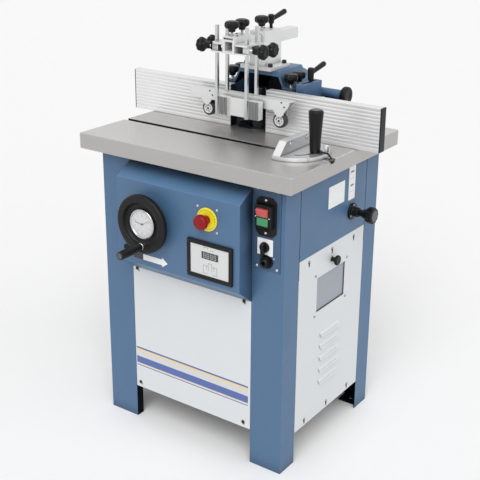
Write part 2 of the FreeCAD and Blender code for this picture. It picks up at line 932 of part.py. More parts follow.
# Handwheel, its dial and crank, and the shaft that turns the lifting screw
def handwheel():
    centre = (wheel_x, housing_face, wheel_z)
    front = d.wheel_standoff + d.wheel_dish + d.wheel_web
    rim_back = d.wheel_reach - 3 * d.wheel_rim
    wheel = turned(
        centre,
        "-y",
        [
            (d.shaft_radius + d.running_gap, d.wheel_standoff),
            (d.wheel_hub, d.wheel_standoff),
            (d.wheel_hub, d.wheel_standoff + d.wheel_dish),
            (d.wheel_radius - 2 * d.wheel_rim, d.wheel_standoff + d.wheel_dish),
            (d.wheel_radius - 1.5 * d.wheel_rim, rim_back),
            (d.wheel_radius - d.wheel_rim / 2, rim_back),
            (d.wheel_radius, rim_back + d.wheel_rim / 2),
            (d.wheel_radius, d.wheel_reach - d.wheel_rim),
            (d.wheel_radius - d.wheel_rim / 3, d.wheel_reach - d.wheel_rim / 4),
            (d.wheel_radius - d.wheel_rim, d.wheel_reach),
            (d.wheel_radius - 1.7 * d.wheel_rim, d.wheel_reach - d.wheel_rim / 3),
            (d.wheel_radius - 2.2 * d.wheel_rim, front),
            (d.shaft_radius + d.running_gap, front),
        ],
    )
    crank = (wheel_x, housing_face, wheel_z - d.crank_throw)
    stud_root = front - d.wheel_web / 2
    grip_start = d.wheel_reach + d.seat_gap
    stud_end = grip_start + d.grip_length - d.grip_tip
    collar = d.grip_radius - d.crank_stud / 2
    stud = turned(
        crank,
        "-y",
        [
            (0, stud_root),
            (collar, stud_root),
            (collar, d.wheel_reach),
            (d.crank_stud, d.wheel_reach),
            (d.crank_stud, stud_end),
            (0, stud_end),
        ],
    )
    bore = d.crank_stud + d.running_gap
    node(
        "crank_grip",
        turned(
            crank,
            "-y",
            [
                (bore, grip_start),
                (d.grip_radius - d.crank_stud / 2, grip_start),
                (d.grip_radius - d.crank_stud / 5, grip_start + d.grip_tip),
                (d.grip_radius, stud_end - d.grip_tip),
                (d.grip_radius - d.crank_stud / 5, stud_end),
                (d.crank_stud, stud_end + d.grip_tip * 0.9),
                (0, stud_end + d.grip_tip),
                (0, stud_end + d.seat_gap),
                (bore, stud_end + d.seat_gap),
            ],
        ),
    )
    dial_lip = d.dial_depth / 5
    node(
        "wheel_dial",
        turned(
            (wheel_x, housing_face - front, wheel_z),
            "-y",
            [
                (0, 0),
                (d.dial_radius - dial_lip, 0),
                (d.dial_radius, dial_lip),
                (d.dial_radius, d.dial_depth - dial_lip),
                (d.dial_radius - dial_lip, d.dial_depth),
                (d.dial_radius - 2 * dial_lip, d.dial_depth - dial_lip / 2),
                (d.dial_radius - 2 * dial_lip, d.dial_depth - dial_lip),
                (0, d.dial_depth - dial_lip),
            ],
        ),
    )
    reach = spindle_y - housing_face
    shaft = turned(
        centre,
        "y",
        [
            (0, -front),
            (d.shaft_radius, -front),
            (d.shaft_radius, reach - d.bevel_far),
            (d.bevel_far - d.seat_gap, reach - d.bevel_far),
            (d.bevel_near - d.seat_gap, reach - d.bevel_near),
            (0, reach - d.bevel_near),
        ],
    )
    node("handwheel", group([fuse(wheel, stud), shaft]))


def lifting_screw():
    apex = wheel_z
    ear_top = sleeve_bottom + d.ear_height
    collar_low = ear_top + d.seat_gap
    node(
        "lift_screw",
        turned(
            (wheel_x, spindle_y, 0),
            "z",
            [
                (0, wheel_z - d.screw_reach),
                (d.screw_radius, wheel_z - d.screw_reach),
                (d.screw_radius, apex - d.bevel_far),
                (d.bevel_far - d.seat_gap, apex - d.bevel_far),
                (d.bevel_near - d.seat_gap, apex - d.bevel_near),
                (d.screw_stem, apex - d.bevel_near),
                (d.screw_stem, collar_low),
                (d.screw_collar, collar_low),
                (d.screw_collar, collar_low + d.screw_collar_height),
                (0, collar_low + d.screw_collar_height),
            ],
        ),
    )


# Emergency stop, display and their rivets
def housing_controls():
    face = (stop_x, housing_face, stop_z)
    bore = d.stop_stem + d.seat_gap
    node("stop_disc", tube(face, "-y", d.stop_disc, bore, d.stop_disc_height))
    head = d.stop_standoff + d.stop_head_height
    node(
        "stop_head",
        turned(
            face,
            "-y",
            [
                (0, -d.stop_standoff / 2),
                (d.stop_stem, -d.stop_standoff / 2),
                (d.stop_stem, d.stop_standoff),
                (d.stop_head * 0.8, d.stop_standoff),
                (d.stop_head, d.stop_standoff + d.stop_head_height * 0.3),
                (d.stop_head, d.stop_standoff + d.stop_head_height * 0.55),
                (d.stop_head * 0.9, d.stop_standoff + d.stop_head_height * 0.8),
                (d.stop_head * 0.62, head - d.stop_head_height * 0.05),
                (0, head),
            ],
        ),
    )
    for side in (-1, 1):
        for end in (-1, 1):
            x = stop_x + side * d.stop_rivet_pitch / 2
            z = stop_z + end * d.stop_rivet_pitch / 2
            rivet_at((x, housing_face, z), "-y")

    half_w = d.display_width / 2
    half_h = d.display_height / 2
    front = housing_face - d.display_depth
    outer = box(
        (display_x - half_w, front, display_z - half_h),
        (display_x + half_w, housing_face, display_z + half_h),
    )
    face_half_w = half_w - d.display_border_x
    face_half_h = half_h - d.display_border_z
    recess = box(
        (display_x - face_half_w, front - d.overrun, display_z - face_half_h),
        (display_x + face_half_w, front + d.display_recess, display_z + face_half_h),
    )
    node("display_unit", cut(outer, recess))
    for side in (-1, 1):
        for end in (-1, 1):
            x = display_x + side * (half_w - d.display_border_x / 2)
            z = display_z + end * (half_h - d.display_border_z / 2)
            rivet_at((x, front, z), "-y")


# Switch, selector and cable gland on their plate on the right front leg
def switchgear():
    switch_x = plate_middle - d.switch_shift
    switch_z = plate_high - d.switch_drop
    selector_x = plate_middle - d.selector_shift
    selector_z = plate_high - d.selector_drop
    gland_z = plate_high - d.gland_drop
    node(
        "switch_plate",
        box((plate_left, plate_face, plate_low), (plate_right, leg_front, plate_high)),
    )
    for x in (plate_left + d.screw_head, plate_right - d.screw_head):
        for z in (plate_low + d.screw_head, plate_high - d.screw_head):
            rivet_at((x, plate_face, z), "-y")
    half_w = d.switch_width / 2
    half_h = d.switch_height / 2
    front = plate_face - d.switch_depth
    body = box(
        (switch_x - half_w, front, switch_z - half_h),
        (switch_x + half_w, plate_face, switch_z + half_h),
    )
    wells = []
    for label, side, proud in (("stop_button", 1, d.red_proud), ("start_button", -1, d.green_proud)):
        z = switch_z + side * (d.button_height + d.button_gap) / 2
        half_bw = d.button_width / 2
        half_bh = d.button_height / 2
        well_w = half_bw + d.seat_gap
        well_h = half_bh + d.seat_gap
        wells.append(
            box(
                (switch_x - well_w, front - d.overrun, z - well_h),
                (switch_x + well_w, plate_face + d.overrun, z + well_h),
            )
        )
        node(
            label,
            box(
                (switch_x - half_bw, front - proud, z - half_bh),
                (switch_x + half_bw, plate_face - d.button_back, z + half_bh),
            ),
        )
    for end in (-1, 1):
        rivet_at((switch_x, front, switch_z + end * (half_h - d.screw_head)), "-y")
    gland = turned(
        (selector_x, plate_face, gland_z),
        "-y",
        [
            (d.gland_bore, d.gland_nut_height - d.overrun / 5),
            (d.gland_dome, d.gland_nut_height - d.overrun / 5),
            (d.gland_dome, d.gland_height * 0.7),
            (d.gland_dome * 0.7, d.gland_height),
            (d.gland_bore, d.gland_height),
        ],
    )
    gland_nut = nut((selector_x, plate_face, gland_z), "-y", d.gland_nut, d.gland_nut_height)
    node("switch_body", group([cut(body, *wells), fuse(gland_nut, gland)]))

    sel_half_w = d.selector_width / 2
    sel_half_h = d.selector_height / 2
    sel_front = plate_face - d.plate_thickness
    plate = box(
        (selector_x - sel_half_w, sel_front, selector_z - sel_half_h),
        (selector_x + sel_half_w, plate_face, selector_z + sel_half_h),
    )
    centre = (selector_x, plate_face, selector_z)
    bore = rod(centre, "-y", d.selector_stem + d.seat_gap, d.plate_thickness)
    node("selector_plate", cut(plate, bore))
    skirt_low = d.plate_thickness + d.seat_gap
    skirt_high = skirt_low + d.selector_skirt
    dial = turned(
        centre,
        "-y",
        [
            (0, d.seat_gap),
            (d.selector_stem, d.seat_gap),
            (d.selector_stem, skirt_low),
            (d.selector_radius, skirt_low),
            (d.selector_radius * 0.9, skirt_high),
            (0, skirt_high),
        ],
    )
    lever = box(
        (-d.selector_lever_width / 2, -d.selector_radius * 0.7, 0),
        (d.selector_lever_width / 2, d.selector_lever, d.selector_lever_height),
    )
    lean = FreeCAD.Rotation(FreeCAD.Vector(0, 0, 1), SELECTOR_REST)
    lever_start = (selector_x, plate_face - skirt_high + d.overrun / 5, selector_z)
    bar = group([lever])
    stand(bar, lever_start, TURN["-y"].multiply(lean))
    node("selector_knob", fuse(dial, bar))


SELECTOR_REST = 150


# Spindle lock: a flanged sleeve on the right side and the pull knob on its pin
def spindle_lock():
    start = (side_outer, at(d.lock_y), lock_z)
    bore = d.lock_pin + d.running_gap
    node(
        "lock_flange",
        turned(
            start,
            "x",
            [
                (bore, 0),
                (d.lock_flange, 0),
                (d.lock_flange, d.lock_flange_height),
                (d.lock_sleeve, d.lock_flange_height * 1.3),
                (d.lock_sleeve, d.lock_sleeve_height),
                (bore, d.lock_sleeve_height),
            ],
        ),
    )
    knob_end = d.lock_knob_start + d.lock_knob_height
    node(
        "lock_knob",
        turned(
            start,
            "x",
            [
                (0, -d.lock_pin_inside),
                (d.lock_pin, -d.lock_pin_inside),
                (d.lock_pin, d.lock_knob_start - d.lock_knob_height / 4),
                (d.lock_knob * 0.5, d.lock_knob_start - d.lock_knob_height / 4),
                (d.lock_knob * 0.6, d.lock_knob_start + d.lock_knob_height * 0.2),
                (d.lock_knob, d.lock_knob_start + d.lock_knob_height * 0.35),
                (d.lock_knob, knob_end - d.lock_knob_height * 0.12),
                (d.lock_knob * 0.88, knob_end),
                (0, knob_end),
            ],
        ),
    )


# Spindle with its collars, running in the quill, which slides in a sleeve under the table
def spindle():
    axis = (0, spindle_y, 0)
    spindle_top = d.table_height + d.spindle_rise
    neck_low = quill_top + d.overrun
    flange_low = spindle_seat_z - d.spindle_flange_height
    tail_high = quill_bottom - d.overrun / 5
    shaft = turned(
        axis,
        "z",
        [
            (0, spindle_tail_z),
            (d.spindle_tail, spindle_tail_z),
            (d.spindle_tail, tail_high),
            (d.spindle_journal, tail_high),
            (d.spindle_journal, neck_low),
            (d.spindle_neck, neck_low),
            (d.spindle_neck, flange_low),
            (d.spindle_flange, flange_low),
            (d.spindle_flange, spindle_seat_z),
            (d.spindle_radius, spindle_seat_z),
            (d.spindle_radius, spindle_top - d.spindle_radius / 8),
            (d.spindle_radius * 0.88, spindle_top),
            (0, spindle_top),
        ],
    )
    wheel = pulley(0, spindle_y, pulley_low, d.spindle_pulley, d.spindle_tail - d.running_gap)
    node("spindle_shaft", fuse(shaft, wheel))
    bore = d.spindle_radius + d.running_gap
    rings = []
    for index in range(COLLARS):
        low = spindle_seat_z + index * d.collar_height
        rings.append(tube((0, spindle_y, low), "z", d.collar_radius, bore, d.collar_height))
    nut_low = spindle_seat_z + COLLARS * d.collar_height
    blank = nut((0, spindle_y, nut_low), "z", d.nut_radius, d.nut_height)
    rings.append(cut(blank, rod((0, spindle_y, nut_low), "z", bore, d.nut_height)))
    node("spindle_collars", group(rings))


COLLARS = 4


def pulley(x, y, low, radius, bore):
    """A single-groove pulley blank, bored for its shaft."""
    middle = d.pulley_height / 2
    rim_half = d.belt_width / 2 + d.groove_gap
    root = radius - d.belt_inset - d.belt_depth - d.groove_gap
    return turned(
        (x, y, low),
        "z",
        [
            (bore, 0),
            (radius, 0),
            (radius, middle - rim_half - d.groove_gap),
            (root, middle - rim_half),
            (root, middle + rim_half),
            (radius, middle + rim_half + d.groove_gap),
            (radius, d.pulley_height),
            (bore, d.pulley_height),
        ],
    )


def belt_loop(label, low, first, second, height):
    """A flat-sided loop round two circles, given as (x, y, radius); its wall is the belt's depth."""

    def ring(inset):
        x1, y1, r1 = first[0], first[1], first[2] - inset
        x2, y2, r2 = second[0], second[1], second[2] - inset
        span = math.hypot(x2 - x1, y2 - y1)
        heading = math.atan2(y2 - y1, x2 - x1)
        lean = math.acos((r1 - r2) / span)

        def on(x, y, r, angle):
            return FreeCAD.Vector(x + r * math.cos(angle), y + r * math.sin(angle), low)

        a1 = on(x1, y1, r1, heading + lean)
        a2 = on(x2, y2, r2, heading + lean)
        b1 = on(x1, y1, r1, heading - lean)
        b2 = on(x2, y2, r2, heading - lean)
        back = on(x1, y1, r1, heading + math.pi)
        nose = on(x2, y2, r2, heading)
        edges = [
            Part.Arc(a1, back, b1).toShape(),
            Part.LineSegment(b1, b2).toShape(),
            Part.Arc(b2, nose, a2).toShape(),
            Part.LineSegment(a2, a1).toShape(),
        ]
        return Part.Face(Part.Wire(edges))

    loop = doc.addObject("Part::Feature", fresh("loop"))
    band = ring(0).cut(ring(d.belt_depth.value))
    loop.Shape = band.extrude(FreeCAD.Vector(0, 0, height)).Solids[0]
    node(label, loop)


def drive():
    fit = d.running_gap
    # The quill, with a nut lug for the lifting screw and a shelf for the motor
    barrel = rod((0, spindle_y, quill_bottom), "z", d.quill_radius, quill_top - quill_bottom)
    half_ear = d.ear_width / 2
    lug = box(
        (wheel_x - half_ear, spindle_y - half_ear, nut_lug_z),
        (0, spindle_y + half_ear, nut_lug_z + d.nut_lug_height),
    )
    shelf = box(
        (0, motor_y - motor_reach, quill_bottom),
        (motor_x + motor_reach, motor_y + motor_reach, shelf_top),
    )
    bore = rod((0, spindle_y, quill_bottom), "z", d.quill_bore, quill_top - quill_bottom)
    seats = []
    rings = []
    for low in (quill_bottom, quill_top - d.bearing_height):
        seats.append(rod((0, spindle_y, low), "z", d.bearing_radius + fit, d.bearing_height))
        rings.append(
            tube((0, spindle_y, low), "z", d.bearing_radius, d.spindle_journal + fit, d.bearing_height)
        )
    screw_bore = rod(
        (wheel_x, spindle_y, nut_lug_z), "z", d.screw_radius + fit, d.nut_lug_height
    )
    motor_hole = rod((motor_x, motor_y, quill_bottom), "z", d.motor_boss, d.bracket_thickness)
    node("quill", cut(fuse(barrel, lug, shelf), bore, screw_bore, motor_hole, *seats))
    node("quill_bearings", group(rings))

    # The sleeve that guides the quill, with an ear that carries the lifting screw
    sleeve = rod((0, spindle_y, sleeve_bottom), "z", sleeve_radius, table_ceiling - sleeve_bottom)
    flange_low = table_ceiling - d.sleeve_flange_height
    flange = rod((0, spindle_y, flange_low), "z", sleeve_flange, d.sleeve_flange_height)
    ear = box(
        (wheel_x - half_ear, spindle_y - half_ear, sleeve_bottom),
        (0, spindle_y + half_ear, sleeve_bottom + d.ear_height),
    )
    quill_bore = rod(
        (0, spindle_y, sleeve_bottom), "z", d.quill_radius + fit, table_ceiling - sleeve_bottom
    )
    stem_bore = rod((wheel_x, spindle_y, sleeve_bottom), "z", d.screw_stem + fit, d.ear_height)
    node("quill_sleeve", cut(fuse(sleeve, flange, ear), quill_bore, stem_bore))

    # The motor stands on the shelf, with its shaft and pulley below
    shaft_low = spindle_tail_z
    motor = turned(
        (motor_x, motor_y, shelf_top),
        "z",
        [
            (d.motor_shaft + fit, 0),
            (d.motor_radius * 0.9, 0),
            (d.motor_radius, d.motor_height * 0.12),
            (d.motor_radius, d.motor_height * 0.75),
            (d.motor_radius * 0.93, d.motor_height * 0.8),
            (d.motor_radius * 0.93, d.motor_height * 0.97),
            (d.motor_radius * 0.85, d.motor_height),
            (0, d.motor_height),
            (0, d.motor_shaft_depth + d.seat_gap),
            (d.motor_shaft + fit, d.motor_shaft_depth + d.seat_gap),
        ],
    )
    node("motor", motor)
    rotor = rod(
        (motor_x, motor_y, shaft_low), "z", d.motor_shaft, shelf_top + d.motor_shaft_depth - shaft_low
    )
    wheel = pulley(motor_x, motor_y, pulley_low, d.motor_pulley, d.motor_shaft - fit)
    node("motor_pulley", fuse(rotor, wheel))
    belt_low = pulley_low + (d.pulley_height - d.belt_width) / 2
    inset = d.belt_inset
    belt_loop(
        "drive_belt",
        belt_low.value,
        (0, spindle_y.value, (d.spindle_pulley - inset).value),
        (motor_x.value, motor_y.value, (d.motor_pulley - inset).value),
        d.belt_width.value,
    )


# Hood: a cast shell with sloping sides, open to the front and below, with a dust port behind
def hood():
    floor = d.table_height
    length = d.hood_back - d.hood_front
    shell = prism(
        "y",
        [
            (-hood_half_low, floor),
            (hood_half_low, floor),
            (d.hood_half_top, hood_top),
            (-d.hood_half_top, hood_top),
        ],
        at(d.hood_front),
        length,
    )
    ceiling = hood_top - d.hood_crown
    wall = d.hood_wall
    cavity = prism(
        "y",
        [
            (-hood_half_width(floor - d.overrun) + wall, floor - d.overrun),
            (hood_half_width(floor - d.overrun) - wall, floor - d.overrun),
            (hood_half_width(ceiling) - wall, ceiling),
            (-hood_half_width(ceiling) + wall, ceiling),
        ],
        at(d.hood_front - d.overrun),
        length + d.overrun - wall,
    )
    port_start = at(d.hood_back - wall / 2)
    port = rod((0, port_start, port_z), "y", d.port_radius, at(d.port_end) - port_start)
    throat_start = at(d.hood_back - wall - d.overrun)
    throat = rod(
        (0, throat_start, port_z),
        "y",
        d.port_radius - d.port_wall,
        at(d.port_end) - throat_start + d.overrun,
    )
    ears = []
    holes = []
    for side in (-1, 1):
        ear_inner = hood_half_width(hood_ear_z) - 2 * d.hood_wall
        ear_outer = hood_knob_x + d.hood_ear_margin
        ends = sorted((side * ear_inner, side * ear_outer), key=lambda size: size.value)
        ears.append(
            box(
                (ends[0], hood_knob_ys[0] - d.hood_ear_margin, hood_ear_z),
                (ends[1], hood_knob_ys[1] + d.hood_ear_margin, hood_ear_z + d.hood_ear_height),
            )
        )
        for y in hood_knob_ys:
            holes.append(
                rod(
                    (side * hood_knob_x, y, hood_ear_z - d.overrun),
                    "z",
                    d.knob_stud + d.running_gap,
                    d.hood_ear_height + 2 * d.overrun,
                )
            )
    base = box(
        (hood_half_low - 2 * d.hood_wall, fence_back + d.slide_front_gap, floor),
        (right_block_outer + d.slide_margin, adjust_y + d.adjust_web, floor + d.slide_base_height),
    )
    web = box(
        (adjust_left, adjust_y - d.adjust_web / 2, floor),
        (adjust_left + d.adjust_tube_length, adjust_y + d.adjust_web / 2, adjust_z),
    )
    barrel_start = (adjust_left, adjust_y, adjust_z)
    barrel = rod(barrel_start, "x", d.adjust_tube, d.adjust_tube_length)
    barrel_bore = rod(barrel_start, "x", d.adjust_shaft + d.running_gap, d.adjust_tube_length)
    casting = cut(fuse(shell, port), cavity, throat)
    trimmed_ears = cut(fuse(*ears), cavity)
    body = fuse(casting, trimmed_ears, cut(base, cavity), web, barrel)
    node("hood", cut(body, barrel_bore, *holes))


# Lobed clamp knobs: a scalloped head on a hub, with a stud that screws into its seat
LOBES = 6


def lobed_knob(start, axis, stud, sink):
    head_low = stud + d.knob_hub_height
    head_high = head_low + d.knob_height
    bevel = d.knob_height / 5
    blank = turned(
        (0, 0, 0),
        "z",
        [
            (0, -sink),
            (d.knob_stud, -sink),
            (d.knob_stud, stud),
            (d.knob_hub, stud),
            (d.knob_hub * 1.15, head_low - bevel),
            (d.knob_radius - bevel, head_low),
            (d.knob_radius, head_low + bevel),
            (d.knob_radius, head_high - 1.5 * bevel),
            (d.knob_radius - bevel, head_high - bevel / 2),
            (d.knob_radius / 2, head_high),
            (0, head_high),
        ],
    )
    scallops = []
    ring = d.knob_radius + d.knob_lobe * 0.7
    for index in range(LOBES):
        angle = 2 * math.pi * index / LOBES
        x = ring * math.cos(angle)
        y = ring * math.sin(angle)
        scallops.append(rod((x, y, head_low - bevel), "z", d.knob_lobe, d.knob_height + 2 * bevel))
    knob = cut(blank, *scallops)
    return stand(knob, start, TURN[axis])


def clamp_lever(label, start):
    """A hub on a stud, with a handle that leans up and back."""
    hub = turned(
        (0, 0, 0),
        "z",
        [
            (0, -d.knob_stud_sink),
            (d.lever_stud, -d.knob_stud_sink),
            (d.lever_stud, d.lever_neck),
            (d.lever_hub * 0.8, d.lever_neck),
            (d.lever_hub, d.lever_hub_height * 0.75),
            (d.lever_hub * 0.85, d.lever_hub_height),
            (0, d.lever_hub_height + d.lever_neck / 2),
        ],
    )
    lean = FreeCAD.Rotation(FreeCAD.Vector(1, 0, 0), LEVER_LEAN - 90)
    root = (0, 0, d.lever_hub_height * 0.75)
    handle = taper(root, lean, d.lever_root, d.lever_tip, d.lever_length)
    tilt = math.radians(LEVER_LEAN)
    tip = ball(
        (0, d.lever_length * math.cos(tilt), root[2] + d.lever_length * math.sin(tilt)), d.lever_tip
    )
    lever = fuse(hub, handle, tip)
    node(label, stand(lever, start))


LEVER_LEAN = 18


# Fences: two ribbed extrusions, each keyed to a carrier behind it
def fence(label, inner, outer):
    low = d.table_height + d.fence_lift
    high = d.table_height + d.fence_height
    face = at(d.fence_face)
    back = fence_back
    ends = sorted((inner, outer), key=lambda size: size.value)
    bar = box((ends[0], face, low), (ends[1], back, high))
    grooves = []
    for index in range(FENCE_GROOVES):
        z = low + (index + 1) * d.fence_groove_pitch
        grooves.append(
            box(
                (ends[0] - d.overrun, face - d.overrun, z),
                (ends[1] + d.overrun, face + d.fence_groove_depth, z + d.fence_groove_width),
            )
        )
    key_low = d.table_height + d.fence_key_low - d.seat_gap
    keyway = box(
        (ends[0] - d.overrun, back - d.fence_keyway, key_low),
        (ends[1] + d.overrun, back + d.overrun, key_low + d.fence_key_height + 2 * d.seat_gap),
    )
    node(label, cut(bar, keyway, *grooves))


FENCE_GROOVES = 11


def fence_key(low_x, high_x):
    """The tongue of a carrier that runs in the fence's keyway."""
    z = d.table_height + d.fence_key_low
    return box(
        (low_x + d.overrun, fence_back - d.fence_keyway + d.seat_gap, z),
        (high_x - d.overrun, fence_back + d.carrier_plate / 2, z + d.fence_key_height),
    )


def carriers():
    left_high = -(hood_half_low + d.left_carrier_gap)
    left_low = left_high - d.left_carrier_width
    foot_back = carrier_front + d.left_foot_depth
    foot_top = d.table_height + d.slide_base_height
    wall = box((left_low, carrier_front, d.table_height), (left_high, carrier_back, carrier_top))
    foot = box((left_low, carrier_front, d.table_height), (left_high, foot_back, foot_top))
    rib_outline = [
        (carrier_back - d.carrier_plate / 2, foot_top - d.slide_base_height / 2),
        (foot_back - d.carrier_plate, foot_top - d.slide_base_height / 2),
        (carrier_back - d.carrier_plate / 2, carrier_top - d.carrier_plate),
    ]
    middle = (left_low + left_high) / 2
    rib = prism("x", rib_outline, middle - d.carrier_plate / 2, d.carrier_plate)
    node("left_carrier", fuse(wall, foot, rib, fence_key(left_low, left_high)))

    right_outer = right_inner + d.right_carrier_width
    plate = box(
        (right_inner, carrier_front, d.table_height + d.carrier_rise),
        (right_outer, carrier_back, carrier_top),
    )
    block = box(
        (right_inner, carrier_front, foot_top + d.seat_gap),
        (right_block_outer, right_block_back, right_block_top),
    )
    top = box(
        (right_box_inner, carrier_back, right_block_top),
        (right_box_outer, carrier_back + d.right_box_depth, right_box_top),
    )
    stud_hole = rod(
        (lever_x, lever_y, right_box_top - 2 * d.knob_stud_sink),
        "z",
        d.lever_stud + d.running_gap,
        3 * d.knob_stud_sink,
    )
    key = fence_key(right_inner, right_outer)
    node("right_carrier", cut(fuse(plate, block, top, key), stud_hole))
    clamp_lever("fence_lever", (lever_x, lever_y, right_box_top))

    knob_low = d.adjust_tube_length + d.seat_gap
    node(
        "adjust_knob",
        turned(
            (adjust_left, adjust_y, adjust_z),
            "x",
            [
                (0, 0),
                (d.adjust_shaft, 0),
                (d.adjust_shaft, knob_low),
                (d.adjust_knob * 0.75, knob_low),
                (d.adjust_knob, knob_low + d.adjust_knob_height * 0.3),
                (d.adjust_knob, knob_low + d.adjust_knob_height * 0.85),
                (d.adjust_knob * 0.93, knob_low + d.adjust_knob_height),
                (0, knob_low + d.adjust_knob_height),
            ],
        ),
    )


# Hold-down: a mast on the hood, an arm through it, and a cross frame that clamps four rods
def mast():
    base_low = hood_top
    base_high = base_low + d.mast_flange_height
    block = box(
        (-d.mast_half_width, mast_front, base_low),
        (d.mast_half_width, mast_back, mast_top),
    )
    flange = box(
        (-d.mast_flange_half, mast_front - d.mast_flange_lap, base_low),
        (d.mast_flange_half, mast_back + d.mast_flange_lap, base_high),
    )
    half = d.arm_side / 2 + d.seat_gap
    channel = box(
        (-half, mast_front - d.overrun, arm_low - d.seat_gap),
        (half, mast_back + d.overrun, arm_high + d.seat_gap),
    )
    holes = []
    for y in (mast_knob_y, mast_lever_y):
        holes.append(
            rod(
                (0, y, mast_top - d.knob_stud_sink - d.overrun),
                "z",
                d.knob_stud + d.running_gap,
                d.knob_stud_sink + 2 * d.overrun,
            )
        )
    node("mast_block", cut(fuse(block, flange), channel, *holes))
    for side in (-1, 1):
        for y in (mast_front + d.cap_screw_head, mast_back - d.cap_screw_head):
            screws.append(
                rod((side * d.mast_screw_x, y, base_high), "z", d.cap_screw_head, d.cap_screw_height)
            )
    clamp_lever("mast_lever", (0, mast_lever_y, mast_top))


def arm():
    half = d.arm_side / 2
    arm_back = at(d.arm_reach_back)
    bar = box((-half, arm_front, arm_low), (half, arm_back, arm_high))
    hollow = box(
        (-half + d.arm_wall, arm_front - d.overrun, arm_low + d.arm_wall),
        (half - d.arm_wall, arm_back + d.overrun, arm_high - d.arm_wall),
    )
    node("arm", cut(bar, hollow))


def cross_frame():
    half = d.arm_side / 2
    sleeve_half = half + d.cross_sheet
    top = box((-cross_half, cross_front, cross_high - d.cross_sheet), (cross_half, cross_back, cross_high))
    bottom = box((-cross_half, cross_front, cross_low), (cross_half, cross_back, cross_low + d.cross_sheet))
    web = box((-cross_half, cross_back - d.cross_sheet, cross_low), (cross_half, cross_back, cross_high))
    sleeve = box((-sleeve_half, arm_front, cross_low), (sleeve_half, cross_back, sleeve_top))
    middle = cross_low + d.cross_height / 2
    half_rod = d.rod_side / 2 + d.rod_gap
    half_block = d.clamp_block / 2
    stud_hole = d.knob_stud + d.running_gap
    side_sink = d.cross_margin - d.rod_side / 2 - d.seat_gap
    blocks = []
    holes = []
    knobs = []
    for side, axis in ((-1, "-x"), (1, "x")):
        x = side * d.rod_half_pitch
        inner = side * (d.rod_half_pitch - d.rod_side)
        ends = sorted((inner, side * cross_half), key=lambda size: size.value)
        for y in (rod_front, rod_back):
            blocks.append(box((ends[0], y - half_block, cross_low), (ends[1], y + half_block, cross_high)))
            holes.append(
                box(
                    (x - half_rod, y - half_rod, cross_low - d.overrun),
                    (x + half_rod, y + half_rod, cross_high + d.overrun),
                )
            )
            holes.append(rod((x, y, middle), axis, stud_hole, cross_half))
            knobs.append(lobed_knob((side * cross_half, y, middle), axis, d.side_knob_stud, side_sink))
    holes.append(box((-half, arm_front - d.overrun, arm_low), (half, cross_back + d.overrun, arm_high)))
    slot_low = arm_high + (d.sleeve_cap - d.sleeve_slot) / 2
    holes.append(
        box(
            (-half, arm_front - d.overrun, slot_low),
            (half, cross_front + d.cross_sheet, slot_low + d.sleeve_slot),
        )
    )
    for y in (rod_front, rod_back):
        stud_foot = sleeve_top - d.knob_stud_sink - d.running_gap
        holes.append(rod((0, y, stud_foot), "z", stud_hole, d.knob_stud_sink + d.overrun))
        knobs.append(lobed_knob((0, y, sleeve_top), "z", d.top_knob_stud, d.knob_stud_sink))
    node("cross_frame", cut(fuse(top, bottom, web, sleeve, *blocks), *holes))
    node("frame_knobs", group(knobs))


def square_rods(y, low):
    half = d.rod_side / 2
    rods = []
    for side in (-1, 1):
        x = side * d.rod_half_pitch
        rods.append(box((x - half, y - half, low), (x + half, y + half, rod_top)))
    return rods


def pressure_shoe():
    shoe_left = -(d.rod_half_pitch + d.rod_side / 2)
    shoe_right = d.rod_half_pitch + d.shoe_overhang
    plate_left = shoe_left + d.shoe_block_left
    plate_right = shoe_right - d.shoe_block_right
    front = rod_front + d.rod_side / 2
    back = front + d.shoe_depth
    plate_front = front + d.shoe_plate_inset
    plate_back = plate_front + d.shoe_plate
    rib = d.shoe_rib

    def block(left, right):
        """The plan of a ribbed end block, walked along its front from left to right."""
        third = (right - left) / 3
        return [
            (left, front),
            (left + third, front),
            (left + third, front + rib),
            (left + third + rib, front + rib),
            (left + third + rib, front),
            (left + 2 * third, front),
            (left + 2 * third, front + rib),
            (left + 2 * third + rib, front + rib),
            (left + 2 * third + rib, front),
            (right, front),
        ]

    outline = block(shoe_left, plate_left)
    outline += [(plate_left, plate_front), (plate_right, plate_front)]
    outline += block(plate_right, shoe_right)
    outline += [
        (shoe_right, back),
        (plate_right, back),
        (plate_right, plate_back),
        (plate_left, plate_back),
        (plate_left, back),
        (shoe_left, back),
    ]
    shoe = prism("z", outline, shoe_low, d.shoe_height)
    node("pressure_shoe", fuse(shoe, *square_rods(rod_front, shoe_low)))


